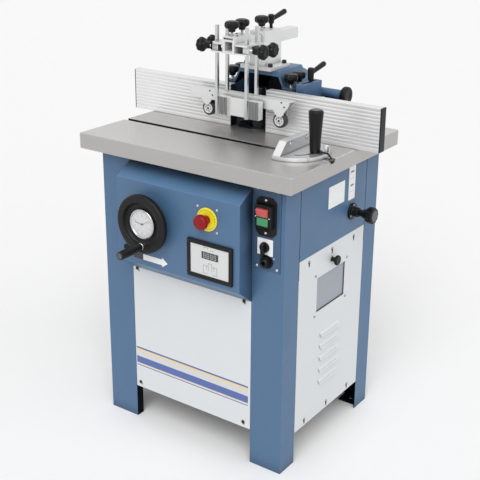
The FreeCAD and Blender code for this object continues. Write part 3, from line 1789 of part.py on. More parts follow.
def roller_beam():
    middle = rod_back
    front = middle - d.beam_depth / 2
    top = beam_top
    left_x = -d.roller_left_reach
    right_x = d.roller_right_reach
    left_end = left_x - d.fork_root - d.beam_end_left
    right_end = right_x + d.fork_root + d.beam_end_right
    left_step = left_x + d.fork_root + d.fork_gap_left
    right_step = right_x - d.fork_root - d.fork_gap_right
    web_low = top - d.beam_web_height
    end_low = top - d.beam_end_height
    tip = top - d.fork_height
    shoulder = tip + d.fork_shoulder

    def fork(x):
        """A fork, walked from its right root round its tip to its left root."""
        return [
            (x + d.fork_root, end_low),
            (x + d.fork_shoulder, shoulder),
            (x + d.fork_tip, tip),
            (x - d.fork_tip, tip),
            (x - d.fork_shoulder, shoulder),
            (x - d.fork_root, end_low),
        ]

    cheek = [(left_end, top), (right_end, top), (right_end, web_low)]
    cheek += fork(right_x)
    cheek += [(right_step, end_low), (right_step, web_low), (left_step, web_low), (left_step, end_low)]
    cheek += fork(left_x)
    cheek += [(left_end, web_low)]
    cheeks = []
    for start in (front, front + d.beam_depth - d.beam_sheet):
        cheeks.append(prism("y", cheek, start, d.beam_sheet))
    web = box(
        (left_end, front, top - d.beam_sheet),
        (right_end, front + d.beam_depth, top),
    )
    axles = []
    for x in (left_x, right_x):
        axles.append(rod((x, front, top - d.roller_drop), "y", d.axle_radius, d.beam_depth))
    rods = square_rods(middle, top - d.beam_sheet)
    node("roller_beam", fuse(web, *cheeks, *axles, *rods))
    bore = d.axle_radius + d.running_gap
    chamfer = d.roller_width / 7
    for label, x in (("left_roller", left_x), ("right_roller", right_x)):
        node(
            label,
            turned(
                (x, middle - d.roller_width / 2, top - d.roller_drop),
                "y",
                [
                    (bore, 0),
                    (d.roller_hub, 0),
                    (d.roller_hub, chamfer),
                    (d.roller_radius - 2 * chamfer, chamfer / 2),
                    (d.roller_radius - chamfer / 2, chamfer),
                    (d.roller_radius, 2 * chamfer),
                    (d.roller_radius, d.roller_width - 2 * chamfer),
                    (d.roller_radius - chamfer / 2, d.roller_width - chamfer),
                    (d.roller_radius - 2 * chamfer, d.roller_width - chamfer / 2),
                    (d.roller_hub, d.roller_width - chamfer),
                    (d.roller_hub, d.roller_width),
                    (bore, d.roller_width),
                ],
            ),
        )


def fixed_knobs():
    """Knobs that clamp the hood and the mast, and the access panel's pull."""
    knobs = []
    for side in (-1, 1):
        for y in hood_knob_ys:
            start = (side * hood_knob_x, y, hood_ear_z + d.hood_ear_height)
            knobs.append(lobed_knob(start, "z", d.top_knob_stud, d.knob_stud_sink))
    knobs.append(lobed_knob((0, mast_knob_y, mast_top), "z", d.top_knob_stud, d.knob_stud_sink))
    pull = turned(
        (side_outer, window_y, side_split - d.pull_drop),
        "x",
        [
            (0, 0),
            (d.knob_hub * 0.6, 0),
            (d.knob_hub * 0.5, d.knob_height * 0.45),
            (d.knob_hub, d.knob_height * 0.7),
            (d.knob_hub, d.knob_height),
            (d.knob_hub * 0.7, d.knob_height * 1.25),
            (0, d.knob_height * 1.3),
        ],
    )
    node("fixed_knobs", group(knobs + [pull]))


# Mitre gauge: a bar in the table slot, a half-round head that pivots on it, and a clamp handle
def mitre_gauge():
    top = d.table_height
    plate_low = top + d.seat_gap
    plate_high = plate_low + d.gauge_plate
    pivot_x = gauge_pivot_x
    stud_x = pivot_x + d.gauge_slot_radius
    half_bar = d.slot_width / 2 - d.gauge_bar_gap
    bar = box(
        (pivot_x - d.gauge_bar_back, slot_y - half_bar, top - d.slot_depth + d.seat_gap),
        (pivot_x + d.gauge_bar_front, slot_y + half_bar, top),
    )
    pin_root = top - d.slot_depth / 2
    pin = rod((pivot_x, slot_y, pin_root), "z", d.gauge_pin, plate_high - d.seat_gap - pin_root)
    stud = rod((stud_x, slot_y, pin_root), "z", d.gauge_stud, plate_high + d.gauge_stud_length - pin_root)
    node("gauge_bar", fuse(bar, pin, stud))

    disc = rod((pivot_x, slot_y, plate_low), "z", d.gauge_radius, d.gauge_plate)
    keep = box(
        (pivot_x - d.gauge_back, slot_y - 2 * d.gauge_radius, plate_low - d.overrun),
        (pivot_x + 2 * d.gauge_radius, slot_y + 2 * d.gauge_radius, plate_high + d.overrun),
    )
    slot_ring = tube(
        (pivot_x, slot_y, plate_low - d.overrun),
        "z",
        d.gauge_slot_radius + d.gauge_slot_width / 2,
        d.gauge_slot_radius - d.gauge_slot_width / 2,
        d.gauge_plate + 2 * d.overrun,
    )
    slot_keep = box(
        (pivot_x + d.gauge_slot_radius / 2, slot_y - d.gauge_radius, plate_low - d.overrun),
        (pivot_x + d.gauge_radius, slot_y + d.gauge_radius, plate_high + d.overrun),
    )
    pin_hole = rod(
        (pivot_x, slot_y, plate_low - d.overrun), "z", d.gauge_pin + d.running_gap, d.gauge_plate + 2 * d.overrun
    )
    node("gauge_head", cut(overlap_of(disc, keep), overlap_of(slot_ring, slot_keep), pin_hole))

    half = d.gauge_fence_half
    bevel = d.gauge_fence_bevel
    outline = [
        (slot_y - half, plate_high),
        (slot_y + half, plate_high),
        (slot_y + half - bevel, plate_high + d.gauge_fence_height),
        (slot_y - half + bevel, plate_high + d.gauge_fence_height),
    ]
    node("gauge_fence", prism("x", outline, pivot_x - d.gauge_back, d.gauge_fence_thickness))

    bore = d.gauge_stud + d.running_gap
    foot = d.seat_gap
    node(
        "gauge_handle",
        turned(
            (stud_x, slot_y, plate_high),
            "z",
            [
                (bore, foot),
                (d.handle_foot * 0.9, foot),
                (d.handle_foot, d.handle_waist_height),
                (d.handle_top, d.handle_height - d.handle_waist_height),
                (d.handle_top * 0.93, d.handle_height),
                (0, d.handle_height),
                (0, d.gauge_stud_length + foot),
                (bore, d.gauge_stud_length + foot),
            ],
        ),
    )


table()
leg("front_left_leg", -1, leg_front, 1)
leg("front_right_leg", 1, leg_front, 1)
leg("rear_left_leg", -1, leg_back, -1)
leg("rear_right_leg", 1, leg_back, -1)
cabinet_rails()
side_low, side_high = panels()
access_panel(side_low, side_high)
control_housing()
handwheel()
lifting_screw()
housing_controls()
switchgear()
spindle_lock()
spindle()
drive()
hood()
carriers()
fence("left_fence", -d.fence_gap_left, -d.fence_reach)
fence("right_fence", d.fence_gap_right, d.fence_reach)
mast()
arm()
cross_frame()
pressure_shoe()
roller_beam()
fixed_knobs()
mitre_gauge()
node("screws", group(screws))
node("plate_rivets", group(rivets))

doc.recompute()

# Every object must have built, and every piece must be a sound solid, before anything is written
for obj in doc.Objects:
    if "Invalid" in obj.State or "Error" in obj.State:
        raise RuntimeError(f"{obj.Name} failed: {obj.State}")
for label, obj in nodes.items():
    if obj.Shape.isNull() or not obj.Shape.isValid() or not obj.Shape.Solids:
        raise RuntimeError(f"{label} has no sound solid")

os.makedirs("parts", exist_ok=True)
for label, obj in nodes.items():
    obj.Shape.exportStep(f"parts/{label}.step")
print(len(nodes), "pieces written")
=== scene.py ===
# %% [markdown]
# # A spindle moulder, dressed in Blender
# The imported CAD model is loaded as a fixed frame, in metres, with +Z up and the operator on the -Y side.
# Every piece that is made here is parented to an empty named after one of its bodies. The pieces' own
# sizes are in millimetres, as on a workshop drawing, and become metres where their meshes are made.

# %% Load the frame
import bmesh
import bpy
import math
from mathutils import Matrix, Vector
from mathutils.bvhtree import BVHTree


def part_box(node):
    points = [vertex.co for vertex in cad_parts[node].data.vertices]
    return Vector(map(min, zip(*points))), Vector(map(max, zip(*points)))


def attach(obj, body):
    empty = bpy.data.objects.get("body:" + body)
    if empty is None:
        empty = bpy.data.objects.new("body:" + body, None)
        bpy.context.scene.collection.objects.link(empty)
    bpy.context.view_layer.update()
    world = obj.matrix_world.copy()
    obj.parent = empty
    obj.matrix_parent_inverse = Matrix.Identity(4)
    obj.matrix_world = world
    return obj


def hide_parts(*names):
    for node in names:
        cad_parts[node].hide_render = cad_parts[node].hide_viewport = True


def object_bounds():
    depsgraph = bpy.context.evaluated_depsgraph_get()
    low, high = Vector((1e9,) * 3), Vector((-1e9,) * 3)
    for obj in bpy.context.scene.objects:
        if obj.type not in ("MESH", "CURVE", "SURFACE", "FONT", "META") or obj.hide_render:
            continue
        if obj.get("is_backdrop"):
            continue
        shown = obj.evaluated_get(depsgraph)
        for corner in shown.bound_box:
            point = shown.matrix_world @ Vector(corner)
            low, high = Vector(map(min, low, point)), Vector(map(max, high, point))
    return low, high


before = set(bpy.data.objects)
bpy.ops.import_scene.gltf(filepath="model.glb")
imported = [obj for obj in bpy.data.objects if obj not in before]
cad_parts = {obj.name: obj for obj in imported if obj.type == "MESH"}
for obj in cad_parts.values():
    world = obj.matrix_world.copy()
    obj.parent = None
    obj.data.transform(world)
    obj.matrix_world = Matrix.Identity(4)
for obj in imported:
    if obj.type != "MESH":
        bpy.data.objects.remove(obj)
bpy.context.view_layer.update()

# %% [markdown]
# ## Camera
# The photograph looks down on the machine from its front right corner. The place, the turn and the lens
# were worked out from the straight edges of the table and the cabinet. An aiming constraint would do for
# most pictures, but it can't give the slight roll of this one. A camera's matrix has the right, up and
# backward directions as its columns, so it can be filled in directly. The picture was cropped off its
# middle, and a small lens shift gives that back without bending the verticals.

# %% Camera
YAW, PITCH, ROLL = (math.radians(angle) for angle in (34.648, 19.490, 0.636))
CAMERA_PLACE = (1.4558, -2.0041, 1.5311)
LENS, SENSOR = 71.47, 36
PICTURE, SHIFT_RIGHT, SHIFT_UP = 480, -10, -36
forward = Vector((-math.sin(YAW) * math.cos(PITCH), math.cos(YAW) * math.cos(PITCH), -math.sin(PITCH)))
level_right = Vector((math.cos(YAW), math.sin(YAW), 0))
level_up = level_right.cross(forward)
camera_right = level_right * math.cos(ROLL) + level_up * math.sin(ROLL)
camera_up = camera_right.cross(forward)
camera = bpy.data.objects.new("camera", bpy.data.cameras.new("camera"))
bpy.context.scene.collection.objects.link(camera)
facing = Matrix((camera_right, camera_up, -forward)).transposed().to_4x4()
camera.matrix_world = Matrix.Translation(CAMERA_PLACE) @ facing
camera.data.lens = LENS
camera.data.sensor_width = SENSOR
camera.data.shift_x = SHIFT_RIGHT / PICTURE
camera.data.shift_y = SHIFT_UP / PICTURE
bpy.context.scene.camera = camera
print("camera lens", LENS, "shift", round(camera.data.shift_x, 3), round(camera.data.shift_y, 3))

# %% [markdown]
# ## Light and floor
# A product picture is lit by large soft lamps in a white room. Area lamps could do that, but a sun with a
# wide disc gives the same level everywhere, so the floor stays even, and a second, weaker one opens the
# right side. The world is white to the camera and in reflections, and dimmer as a lamp, so bright metal
# has something pale to mirror while colours come out about as they are written.

# %% Lamps
bpy.context.scene.view_settings.view_transform = "Standard"


def studio_sun(name, towards, strength, disc):
    """A sun that shines in one direction, its disc's width in degrees."""
    lamp = bpy.data.lights.new(name, "SUN")
    lamp.energy = strength
    lamp.angle = math.radians(disc)
    obj = bpy.data.objects.new(name, lamp)
    obj.rotation_euler = Vector(towards).to_track_quat("-Z", "Y").to_euler()
    bpy.context.scene.collection.objects.link(obj)


studio_sun("key_light", (-0.42, 0.84, -0.95), strength=1.78, disc=46)
studio_sun("side_light", (-0.90, 0.20, -0.60), strength=0.46, disc=60)

# %% White room
ROOM_AS_LAMP, ROOM_AS_SEEN = 0.50, 1.0
world = bpy.data.worlds.new("white_room")
bpy.context.scene.world = world
world.use_nodes = True
room = world.node_tree
room.nodes["Background"].inputs["Color"].default_value = (1, 1, 1, 1)
rays = room.nodes.new("ShaderNodeLightPath")
seen = room.nodes.new("ShaderNodeMath")
seen.operation = "MAXIMUM"
mirrored = room.nodes.new("ShaderNodeMath")
mirrored.operation = "MAXIMUM"
room_level = room.nodes.new("ShaderNodeMapRange")
room_level.inputs["To Min"].default_value = ROOM_AS_LAMP
room_level.inputs["To Max"].default_value = ROOM_AS_SEEN
room.links.new(rays.outputs["Is Camera Ray"], seen.inputs[0])
room.links.new(rays.outputs["Is Glossy Ray"], seen.inputs[1])
room.links.new(seen.outputs[0], mirrored.inputs[0])
room.links.new(rays.outputs["Is Transmission Ray"], mirrored.inputs[1])
room.links.new(mirrored.outputs[0], room_level.inputs["Value"])
room.links.new(room_level.outputs["Result"], room.nodes["Background"].inputs["Strength"])
print("room as a lamp", ROOM_AS_LAMP, "and as seen", ROOM_AS_SEEN)

# %% Paper floor
FLOOR_HALF = 40
PAPER_WHITE = (0.96, 0.96, 0.96, 1)
floor_mesh = bpy.data.meshes.new("studio_floor")
floor_corners = [(x * FLOOR_HALF, y * FLOOR_HALF, 0) for x, y in ((-1, -1), (1, -1), (1, 1), (-1, 1))]
floor_mesh.from_pydata(floor_corners, [], [(0, 1, 2, 3)])
floor = bpy.data.objects.new("studio_floor", floor_mesh)
bpy.context.scene.collection.objects.link(floor)
paper = bpy.data.materials.new("paper_floor")
paper.use_nodes = True
paper_shader = paper.node_tree.nodes["Principled BSDF"]
paper_shader.inputs["Base Color"].default_value = PAPER_WHITE
paper_shader.inputs["Roughness"].default_value = 1
paper_shader.inputs["Specular IOR Level"].default_value = 0
floor_mesh.materials.append(paper)
floor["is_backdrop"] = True
print("floor", 2 * FLOOR_HALF, "metres wide")

# %% [markdown]
# ## Shared surface effects
# Paint, metal and plastic on this machine share a few habits: a fine grain, a slow drift of sheen, a paler
# line along edges that is partly wear and partly a painted highlight, a film of dust on what faces up,
# darkening where a face lies close to another that is partly grime and partly painted shade, and straight
# tool marks on ground metal. Each material could have its own nodes for these, but a node group is built
# once and changed in one place. A group reads the object's own coordinates, in metres, so the grain has its
# real size, and it puts out masks that each finish uses with its own colours.

# %% Group helpers


def effect_group(name, inputs, outputs):
    """A new shader node group with float sockets, and its input and output nodes."""
    group = bpy.data.node_groups.new(name, "ShaderNodeTree")
    for label, default in inputs:
        socket = group.interface.new_socket(label, in_out="INPUT", socket_type="NodeSocketFloat")
        socket.default_value = default
    for label in outputs:
        group.interface.new_socket(label, in_out="OUTPUT", socket_type="NodeSocketFloat")
    return group, group.nodes.new("NodeGroupInput"), group.nodes.new("NodeGroupOutput")


def noise_in(group, coordinates, detail, scale=None):
    """A noise over the given coordinates, its scale taken from a socket where one is given."""
    noise = group.nodes.new("ShaderNodeTexNoise")
    noise.inputs["Detail"].default_value = detail
    group.links.new(coordinates, noise.inputs["Vector"])
    if scale is not None:
        group.links.new(scale, noise.inputs["Scale"])
    return noise.outputs["Fac"]


def spread(group, value, low, high):
    """Spreads a value between two limits over 0 to 1."""
    limits = group.nodes.new("ShaderNodeMapRange")
    limits.inputs["From Min"].default_value = low
    limits.inputs["From Max"].default_value = high
    group.links.new(value, limits.inputs["Value"])
    return limits.outputs["Result"]


def times(group, one, other):
    """The product of two sockets."""
    product = group.nodes.new("ShaderNodeMath")
    product.operation = "MULTIPLY"
    group.links.new(one, product.inputs[0])
    group.links.new(other, product.inputs[1])
    return product.outputs[0]


def places(group):
    """The object's own coordinates."""
    return group.nodes.new("ShaderNodeTexCoord").outputs["Object"]


NOISE_LOW, NOISE_HIGH = 0.3, 0.7
print("a noise lies mostly between", NOISE_LOW, "and", NOISE_HIGH)

# %% Grain and drift: a fine fleck, and a slow change of sheen
grain_inputs = [("Grain Scale", 900), ("Drift Scale", 7)]
grain_group, start, end = effect_group("fine_grain", grain_inputs, ["Grain", "Drift"])
fleck = noise_in(grain_group, places(grain_group), detail=3, scale=start.outputs["Grain Scale"])
drift = noise_in(grain_group, places(grain_group), detail=4, scale=start.outputs["Drift Scale"])
grain_group.links.new(spread(grain_group, fleck, NOISE_LOW, NOISE_HIGH), end.inputs["Grain"])
grain_group.links.new(spread(grain_group, drift, NOISE_LOW, NOISE_HIGH), end.inputs["Drift"])
print("group", grain_group.name)

# %% Edge wear and painted highlight: where a softened normal departs from the true one, there is an edge
# The paler line along edges is partly wear and partly a painted highlight.
rub_inputs = [("Width", 0.002), ("Amount", 1.0), ("Breakup Scale", 60)]
rub_group, start, end = effect_group("edge_rub", rub_inputs, ["Mask"])
softened = rub_group.nodes.new("ShaderNodeBevel")
softened.samples = 4
rub_group.links.new(start.outputs["Width"], softened.inputs["Radius"])
true_normal = rub_group.nodes.new("ShaderNodeNewGeometry")
agree = rub_group.nodes.new("ShaderNodeVectorMath")
agree.operation = "DOT_PRODUCT"
rub_group.links.new(softened.outputs["Normal"], agree.inputs[0])
rub_group.links.new(true_normal.outputs["Normal"], agree.inputs[1])
edge = spread(rub_group, agree.outputs["Value"], low=0.985, high=0.90)
broken = noise_in(rub_group, places(rub_group), detail=5, scale=start.outputs["Breakup Scale"])
breakup = spread(rub_group, broken, low=0.42, high=0.62)
rub_mask = times(rub_group, times(rub_group, edge, breakup), start.outputs["Amount"])
rub_group.links.new(rub_mask, end.inputs["Mask"])
print("group", rub_group.name)

# %% Dust film: it settles on what faces up, in patches
dust_group, start, end = effect_group("dust_film", [("Amount", 0.2), ("Patch Scale", 14)], ["Mask"])
looking = dust_group.nodes.new("ShaderNodeNewGeometry")
split = dust_group.nodes.new("ShaderNodeSeparateXYZ")
dust_group.links.new(looking.outputs["Normal"], split.inputs["Vector"])
upward = spread(dust_group, split.outputs["Z"], low=0.45, high=0.95)
clouds = noise_in(dust_group, places(dust_group), detail=6, scale=start.outputs["Patch Scale"])
patches = spread(dust_group, clouds, low=0.35, high=0.75)
dust_mask = times(dust_group, times(dust_group, upward, patches), start.outputs["Amount"])
dust_group.links.new(dust_mask, end.inputs["Mask"])
print("group", dust_group.name)

# %% Grime and painted shade: what lies close to another face gathers dark dust and is painted darker for the light it lacks
# The darkening comes from an occlusion test within the reach: partly grime, partly painted shade.
seam_group, start, end = effect_group("seam_grime", [("Reach", 0.05), ("Amount", 0.7)], ["Mask"])
closeness = seam_group.nodes.new("ShaderNodeAmbientOcclusion")
closeness.samples = 6
seam_group.links.new(start.outputs["Reach"], closeness.inputs["Distance"])
shut_in = spread(seam_group, closeness.outputs["AO"], low=0.82, high=0.30)
seam_group.links.new(times(seam_group, shut_in, start.outputs["Amount"]), end.inputs["Mask"])
print("group", seam_group.name)

# %% Tool marks: a noise that is drawn out along one direction
marks_inputs = [("Along X", 4), ("Along Y", 900), ("Along Z", 900)]
marks_group, start, end = effect_group("tool_marks", marks_inputs, ["Lines"])
squeeze = marks_group.nodes.new("ShaderNodeCombineXYZ")
for letter in "XYZ":
    marks_group.links.new(start.outputs["Along " + letter], squeeze.inputs[letter])
drawn = marks_group.nodes.new("ShaderNodeVectorMath")
drawn.operation = "MULTIPLY"
marks_group.links.new(places(marks_group), drawn.inputs[0])
marks_group.links.new(squeeze.outputs["Vector"], drawn.inputs[1])
lines = noise_in(marks_group, drawn.outputs["Vector"], detail=3)
marks_group.links.new(spread(marks_group, lines, NOISE_LOW, NOISE_HIGH), end.inputs["Lines"])
print("group", marks_group.name)

# %% [markdown]
# ## Finishes
# One builder wires a finish: two near colours mixed by the grain, a paler colour along edges for wear and
# painted highlight, a dark colour for grime and painted shade where faces lie close together, a dust colour
# on top faces, and a roughness that drifts between two values. Metal finishes can use tool marks instead of
# grain. Wired by hand, it would be the same few nodes many times over. What is the same all over, such as
# how metallic it is, is set on the shader's own socket.

# %% Finish builder
DUST = (0.62, 0.58, 0.52)


def mix_colour(tree, factor, below, above):
    """A colour mix whose sides are colours or sockets."""
    mix = tree.nodes.new("ShaderNodeMix")
    mix.data_type = "RGBA"
    tree.links.new(factor, mix.inputs["Factor"])
    for side, socket in ((below, mix.inputs[6]), (above, mix.inputs[7])):
        if isinstance(side, tuple):
            socket.default_value = (*side, 1)
        else:
            tree.links.new(side, socket)
    return mix.outputs[2]


def placed(tree, group, **values):
    """A group put in a material, with its own values."""
    node = tree.nodes.new("ShaderNodeGroup")
    node.node_tree = group
    for label, value in values.items():
        node.inputs[label.replace("_", " ")].default_value = value
    return node


def finish(name, colour, fleck, rough, grain=900, drift=7, bump=0.00002, strength=0.15, metal=0.0,
           specular=0.5, rub=None, rub_width=0.002, rub_amount=0.6, dust=0.0, marks=None, seam=None,
           seam_reach=0.05, seam_amount=0.7):
    """A material with grain or marks, and with the effects that it is given values for."""
    material = bpy.data.materials.new(name)
    material.use_nodes = True
    tree = material.node_tree
    shader = tree.nodes["Principled BSDF"]
    shader.inputs["Metallic"].default_value = metal
    shader.inputs["Specular IOR Level"].default_value = specular
    grains = placed(tree, grain_group, Grain_Scale=grain, Drift_Scale=drift)
    texture = grains.outputs["Grain"]
    if marks:
        drawn_marks = placed(tree, marks_group, Along_X=marks[0], Along_Y=marks[1], Along_Z=marks[2])
        texture = drawn_marks.outputs["Lines"]
    shown = mix_colour(tree, texture, colour, fleck)
    if rub:
        wear_highlight_node = placed(tree, rub_group, Width=rub_width, Amount=rub_amount)
        shown = mix_colour(tree, wear_highlight_node.outputs["Mask"], shown, rub)
    if dust:
        film = placed(tree, dust_group, Amount=dust)
        shown = mix_colour(tree, film.outputs["Mask"], shown, DUST)
    if seam:
        grime_shade_node = placed(tree, seam_group, Reach=seam_reach, Amount=seam_amount)
        shown = mix_colour(tree, grime_shade_node.outputs["Mask"], shown, seam)
    tree.links.new(shown, shader.inputs["Base Color"])
    sheen = tree.nodes.new("ShaderNodeMapRange")
    sheen.inputs["To Min"].default_value = rough[0]
    sheen.inputs["To Max"].default_value = rough[1]
    tree.links.new(grains.outputs["Drift"], sheen.inputs["Value"])
    tree.links.new(sheen.outputs["Result"], shader.inputs["Roughness"])
    relief = tree.nodes.new("ShaderNodeBump")
    relief.inputs["Strength"].default_value = strength
    relief.inputs["Distance"].default_value = bump
    tree.links.new(texture, relief.inputs["Height"])
    tree.links.new(relief.outputs["Normal"], shader.inputs["Normal"])
    return material


print("dust colour", DUST)

# %% [markdown]
# ### Paint
# The cabinet is powder-coated sheet. Powder flows into a slightly pebbled skin with a satin sheen. A bump
# is enough for it, because the pebbles are too small to show in an outline. Folds get a paler line, partly
# where the coat is brushed thin and partly a painted highlight, and where sheets meet or faces lie close
# together, grime and painted shade darken the coat. The housing's face is a slightly lighter copy of the
# blue as painted light, its top slope is lighter still as a painted highlight, and its ends are darker with
# deep painted shade. Inside the cabinet and the hood a nearly black copy of the paint is painted shade, for
# want of light.

# %% Paint finishes
BLUE_WEAR_HIGHLIGHT = (0.20, 0.31, 0.45)
BLUE_GRIME_SHADE = (0.004, 0.010, 0.020)


def powder_coat(name, colour, fleck, rough, **more):
    """A paint with the pebbled skin that powder leaves."""
    return finish(name, colour, fleck, rough, grain=700, bump=0.00006, **more)


blue_paint = powder_coat(
    "blue_powder_coat", (0.063, 0.138, 0.252), (0.072, 0.150, 0.270), (0.40, 0.50),
    strength=0.22, rub=BLUE_WEAR_HIGHLIGHT, rub_amount=0.5, dust=0.05, seam=BLUE_GRIME_SHADE, seam_reach=0.06)
# Painted light: a slightly lighter copy of the blue for the housing, with a short shade reach.
housing_lightened_paint = powder_coat(
    "housing_painted_light_coat", (0.066, 0.144, 0.262), (0.075, 0.156, 0.280), (0.38, 0.48),
    strength=0.22, rub=BLUE_WEAR_HIGHLIGHT, rub_amount=0.5, dust=0.05, seam=BLUE_GRIME_SHADE, seam_reach=0.016)
# Painted highlight: a lighter blue for the housing's top slope.
slope_highlight_paint = powder_coat(
    "housing_slope_painted_highlight", (0.080, 0.175, 0.320), (0.090, 0.190, 0.340), (0.36, 0.46),
    strength=0.22, rub=(0.24, 0.36, 0.52), rub_amount=0.6, dust=0.04, seam=BLUE_GRIME_SHADE, seam_reach=0.06)
# Painted shade: a darker blue with deep occlusion shade for the housing's ends.
end_shade_paint = powder_coat(
    "housing_end_painted_shade", (0.060, 0.132, 0.242), (0.068, 0.144, 0.260), (0.42, 0.52),
    strength=0.22, seam=(0.004, 0.008, 0.015), seam_reach=0.14, seam_amount=0.95)
# Painted shade: a near-black copy of the blue paint for faces inside the cabinet and the hood.
inside_shade_paint = powder_coat(
    "cabinet_inside_painted_shade", (0.0035, 0.006, 0.010), (0.005, 0.008, 0.013), (0.6, 0.7), specular=0.03)
white_paint = powder_coat(
    "white_powder_coat", (0.645, 0.668, 0.685), (0.670, 0.690, 0.705), (0.38, 0.48), strength=0.18,
    rub=(0.62, 0.64, 0.65), rub_amount=0.3, dust=0.05, seam=(0.22, 0.24, 0.27), seam_reach=0.012)
plate_paint = powder_coat(
    "switch_plate_coat", (0.046, 0.098, 0.182), (0.053, 0.108, 0.196), (0.42, 0.52),
    strength=0.2, rub=(0.19, 0.28, 0.4), rub_amount=0.5, seam=BLUE_GRIME_SHADE, seam_reach=0.05)
motor_paint = finish(
    "motor_grey_coat", (0.11, 0.125, 0.14), (0.13, 0.145, 0.16), (0.42, 0.52),
    grain=500, bump=0.0001, strength=0.25, rub=(0.35, 0.35, 0.35), dust=0.25)
rail_paint = finish(
    "rail_grey_coat", (0.012, 0.014, 0.018), (0.018, 0.02, 0.024), (0.5, 0.6),
    grain=500, bump=0.00008, strength=0.2, specular=0.2, dust=0.1)
print("paints", blue_paint.name, white_paint.name, plate_paint.name)

# %% [markdown]
# ### Metal
# The table is cast iron, ground flat, so its face has long straight scratches that catch the light. The
# fences are drawn aluminium with lines along their length. Such lines could come from a picture, but a
# noise that is stretched along one direction has no seams and keeps its size on every piece. The gauge is
# cast aluminium with a fine satin grain, the mast and the hold-down have a thin silver-grey coat, and
# turned steel is smoother than all of these.

# %% Iron and steel finishes
IRON_GRIME_SHADE = (0.03, 0.03, 0.03)
# On the irons the paler edge colour is mostly a painted highlight along the table's edges.
ground_iron = finish(
    "ground_cast_iron", (0.505, 0.495, 0.484), (0.600, 0.586, 0.573), (0.32, 0.44),
    drift=5, metal=0.8, marks=(6, 700, 700), bump=0.00004, strength=0.35, rub=(0.70, 0.69, 0.675),
    dust=0.06, seam=IRON_GRIME_SHADE, seam_reach=0.02, seam_amount=0.8)
milled_iron = finish(
    "milled_cast_iron", (0.42, 0.412, 0.404), (0.49, 0.48, 0.47), (0.34, 0.46),
    drift=5, metal=0.8, marks=(40, 40, 900), bump=0.00004, strength=0.3, rub=(0.74, 0.73, 0.715),
    rub_width=0.003, rub_amount=0.9, seam=IRON_GRIME_SHADE, seam_reach=0.02, seam_amount=0.8)
grey_iron = finish(
    "machined_grey_iron", (0.20, 0.20, 0.205), (0.27, 0.27, 0.275), (0.38, 0.5),
    metal=0.8, marks=(500, 500, 20), bump=0.00004, strength=0.3, dust=0.2)
ring_steel = finish(
    "turned_ring_steel", (0.30, 0.30, 0.305), (0.37, 0.37, 0.375), (0.25, 0.36),
    metal=1, marks=(500, 500, 900), bump=0.00003, strength=0.25, rub=(0.6, 0.6, 0.6),
    seam=(0.02, 0.02, 0.02), seam_reach=0.03)
bright_steel = finish(
    "ground_bright_steel", (0.58, 0.585, 0.595), (0.66, 0.665, 0.67), (0.22, 0.32),
    metal=1, marks=(800, 800, 12), strength=0.2, rub=(0.8, 0.8, 0.8))
blued_steel = finish(
    "blued_spindle_steel", (0.035, 0.036, 0.04), (0.055, 0.056, 0.06), (0.25, 0.36),
    metal=0.8, marks=(600, 600, 40), strength=0.2, rub=(0.3, 0.3, 0.3), rub_width=0.001)
black_steel = finish(
    "blackened_steel", (0.010, 0.010, 0.011), (0.018, 0.018, 0.019), (0.26, 0.36),
    grain=800, metal=0.3, rub=(0.2, 0.2, 0.2), rub_width=0.0008)
chrome = finish(
    "bezel_chrome", (0.52, 0.52, 0.53), (0.58, 0.58, 0.59), (0.10, 0.16), grain=300, metal=1, strength=0.03)
print("irons and steels", ground_iron.name, ring_steel.name, bright_steel.name)

# %% Aluminium finishes
CAST_WEAR_HIGHLIGHT = (0.85, 0.85, 0.85)
CAST_GRIME_SHADE = (0.06, 0.06, 0.065)
fence_aluminium = finish(
    "drawn_aluminium", (0.74, 0.74, 0.745), (0.80, 0.80, 0.805), (0.34, 0.44),
    drift=9, metal=0.6, marks=(3, 1100, 1100), bump=0.00003, strength=0.25, rub=(0.92, 0.92, 0.92))
cast_aluminium = finish(
    "satin_aluminium", (0.67, 0.675, 0.685), (0.75, 0.755, 0.765), (0.28, 0.40),
    grain=1400, metal=0.75, bump=0.00005, strength=0.22, rub=CAST_WEAR_HIGHLIGHT, dust=0.05,
    seam=CAST_GRIME_SHADE, seam_reach=0.012)
# Painted reflection: a darker aluminium for the gauge fence's back face, which mirrors the dark handle.
dark_reflection_aluminium = finish(
    "aluminium_painted_dark_reflection", (0.44, 0.444, 0.452), (0.51, 0.514, 0.522), (0.30, 0.42),
    grain=1400, metal=0.75, bump=0.00006, strength=0.25, rub=CAST_WEAR_HIGHLIGHT, seam=CAST_GRIME_SHADE, seam_reach=0.012)
# Dark ribbed aluminium, also used as painted shade on the faces inside the hold-down's frame.
ribbed_aluminium_and_shade = finish(
    "ribbed_aluminium_and_painted_shade", (0.20, 0.204, 0.212), (0.27, 0.274, 0.282), (0.3, 0.42),
    metal=0.7, marks=(900, 900, 5), bump=0.00005, strength=0.3, rub=(0.7, 0.7, 0.7), rub_width=0.001)
pale_coat = finish(
    "silver_grey_coat", (0.70, 0.705, 0.705), (0.76, 0.765, 0.76), (0.34, 0.44),
    bump=0.00004, strength=0.2, metal=0.25, rub=(0.86, 0.86, 0.86), dust=0.04,
    seam=(0.10, 0.10, 0.105), seam_reach=0.02, seam_amount=0.6)
print("aluminium", fence_aluminium.name, cast_aluminium.name, pale_coat.name)

# %% [markdown]
# ### Plastic, rubber and film
# The handwheel is black moulded plastic with a fine spark-eroded grain. Knobs and levers are the same
# plastic with a smoother, deeper black skin. The buttons and the stop's collar are coloured mouldings with
# a plain gloss. Tyres are matt rubber, and labels are printed film. They differ only in colour, sheen and
# grain, so the same builder makes them all.

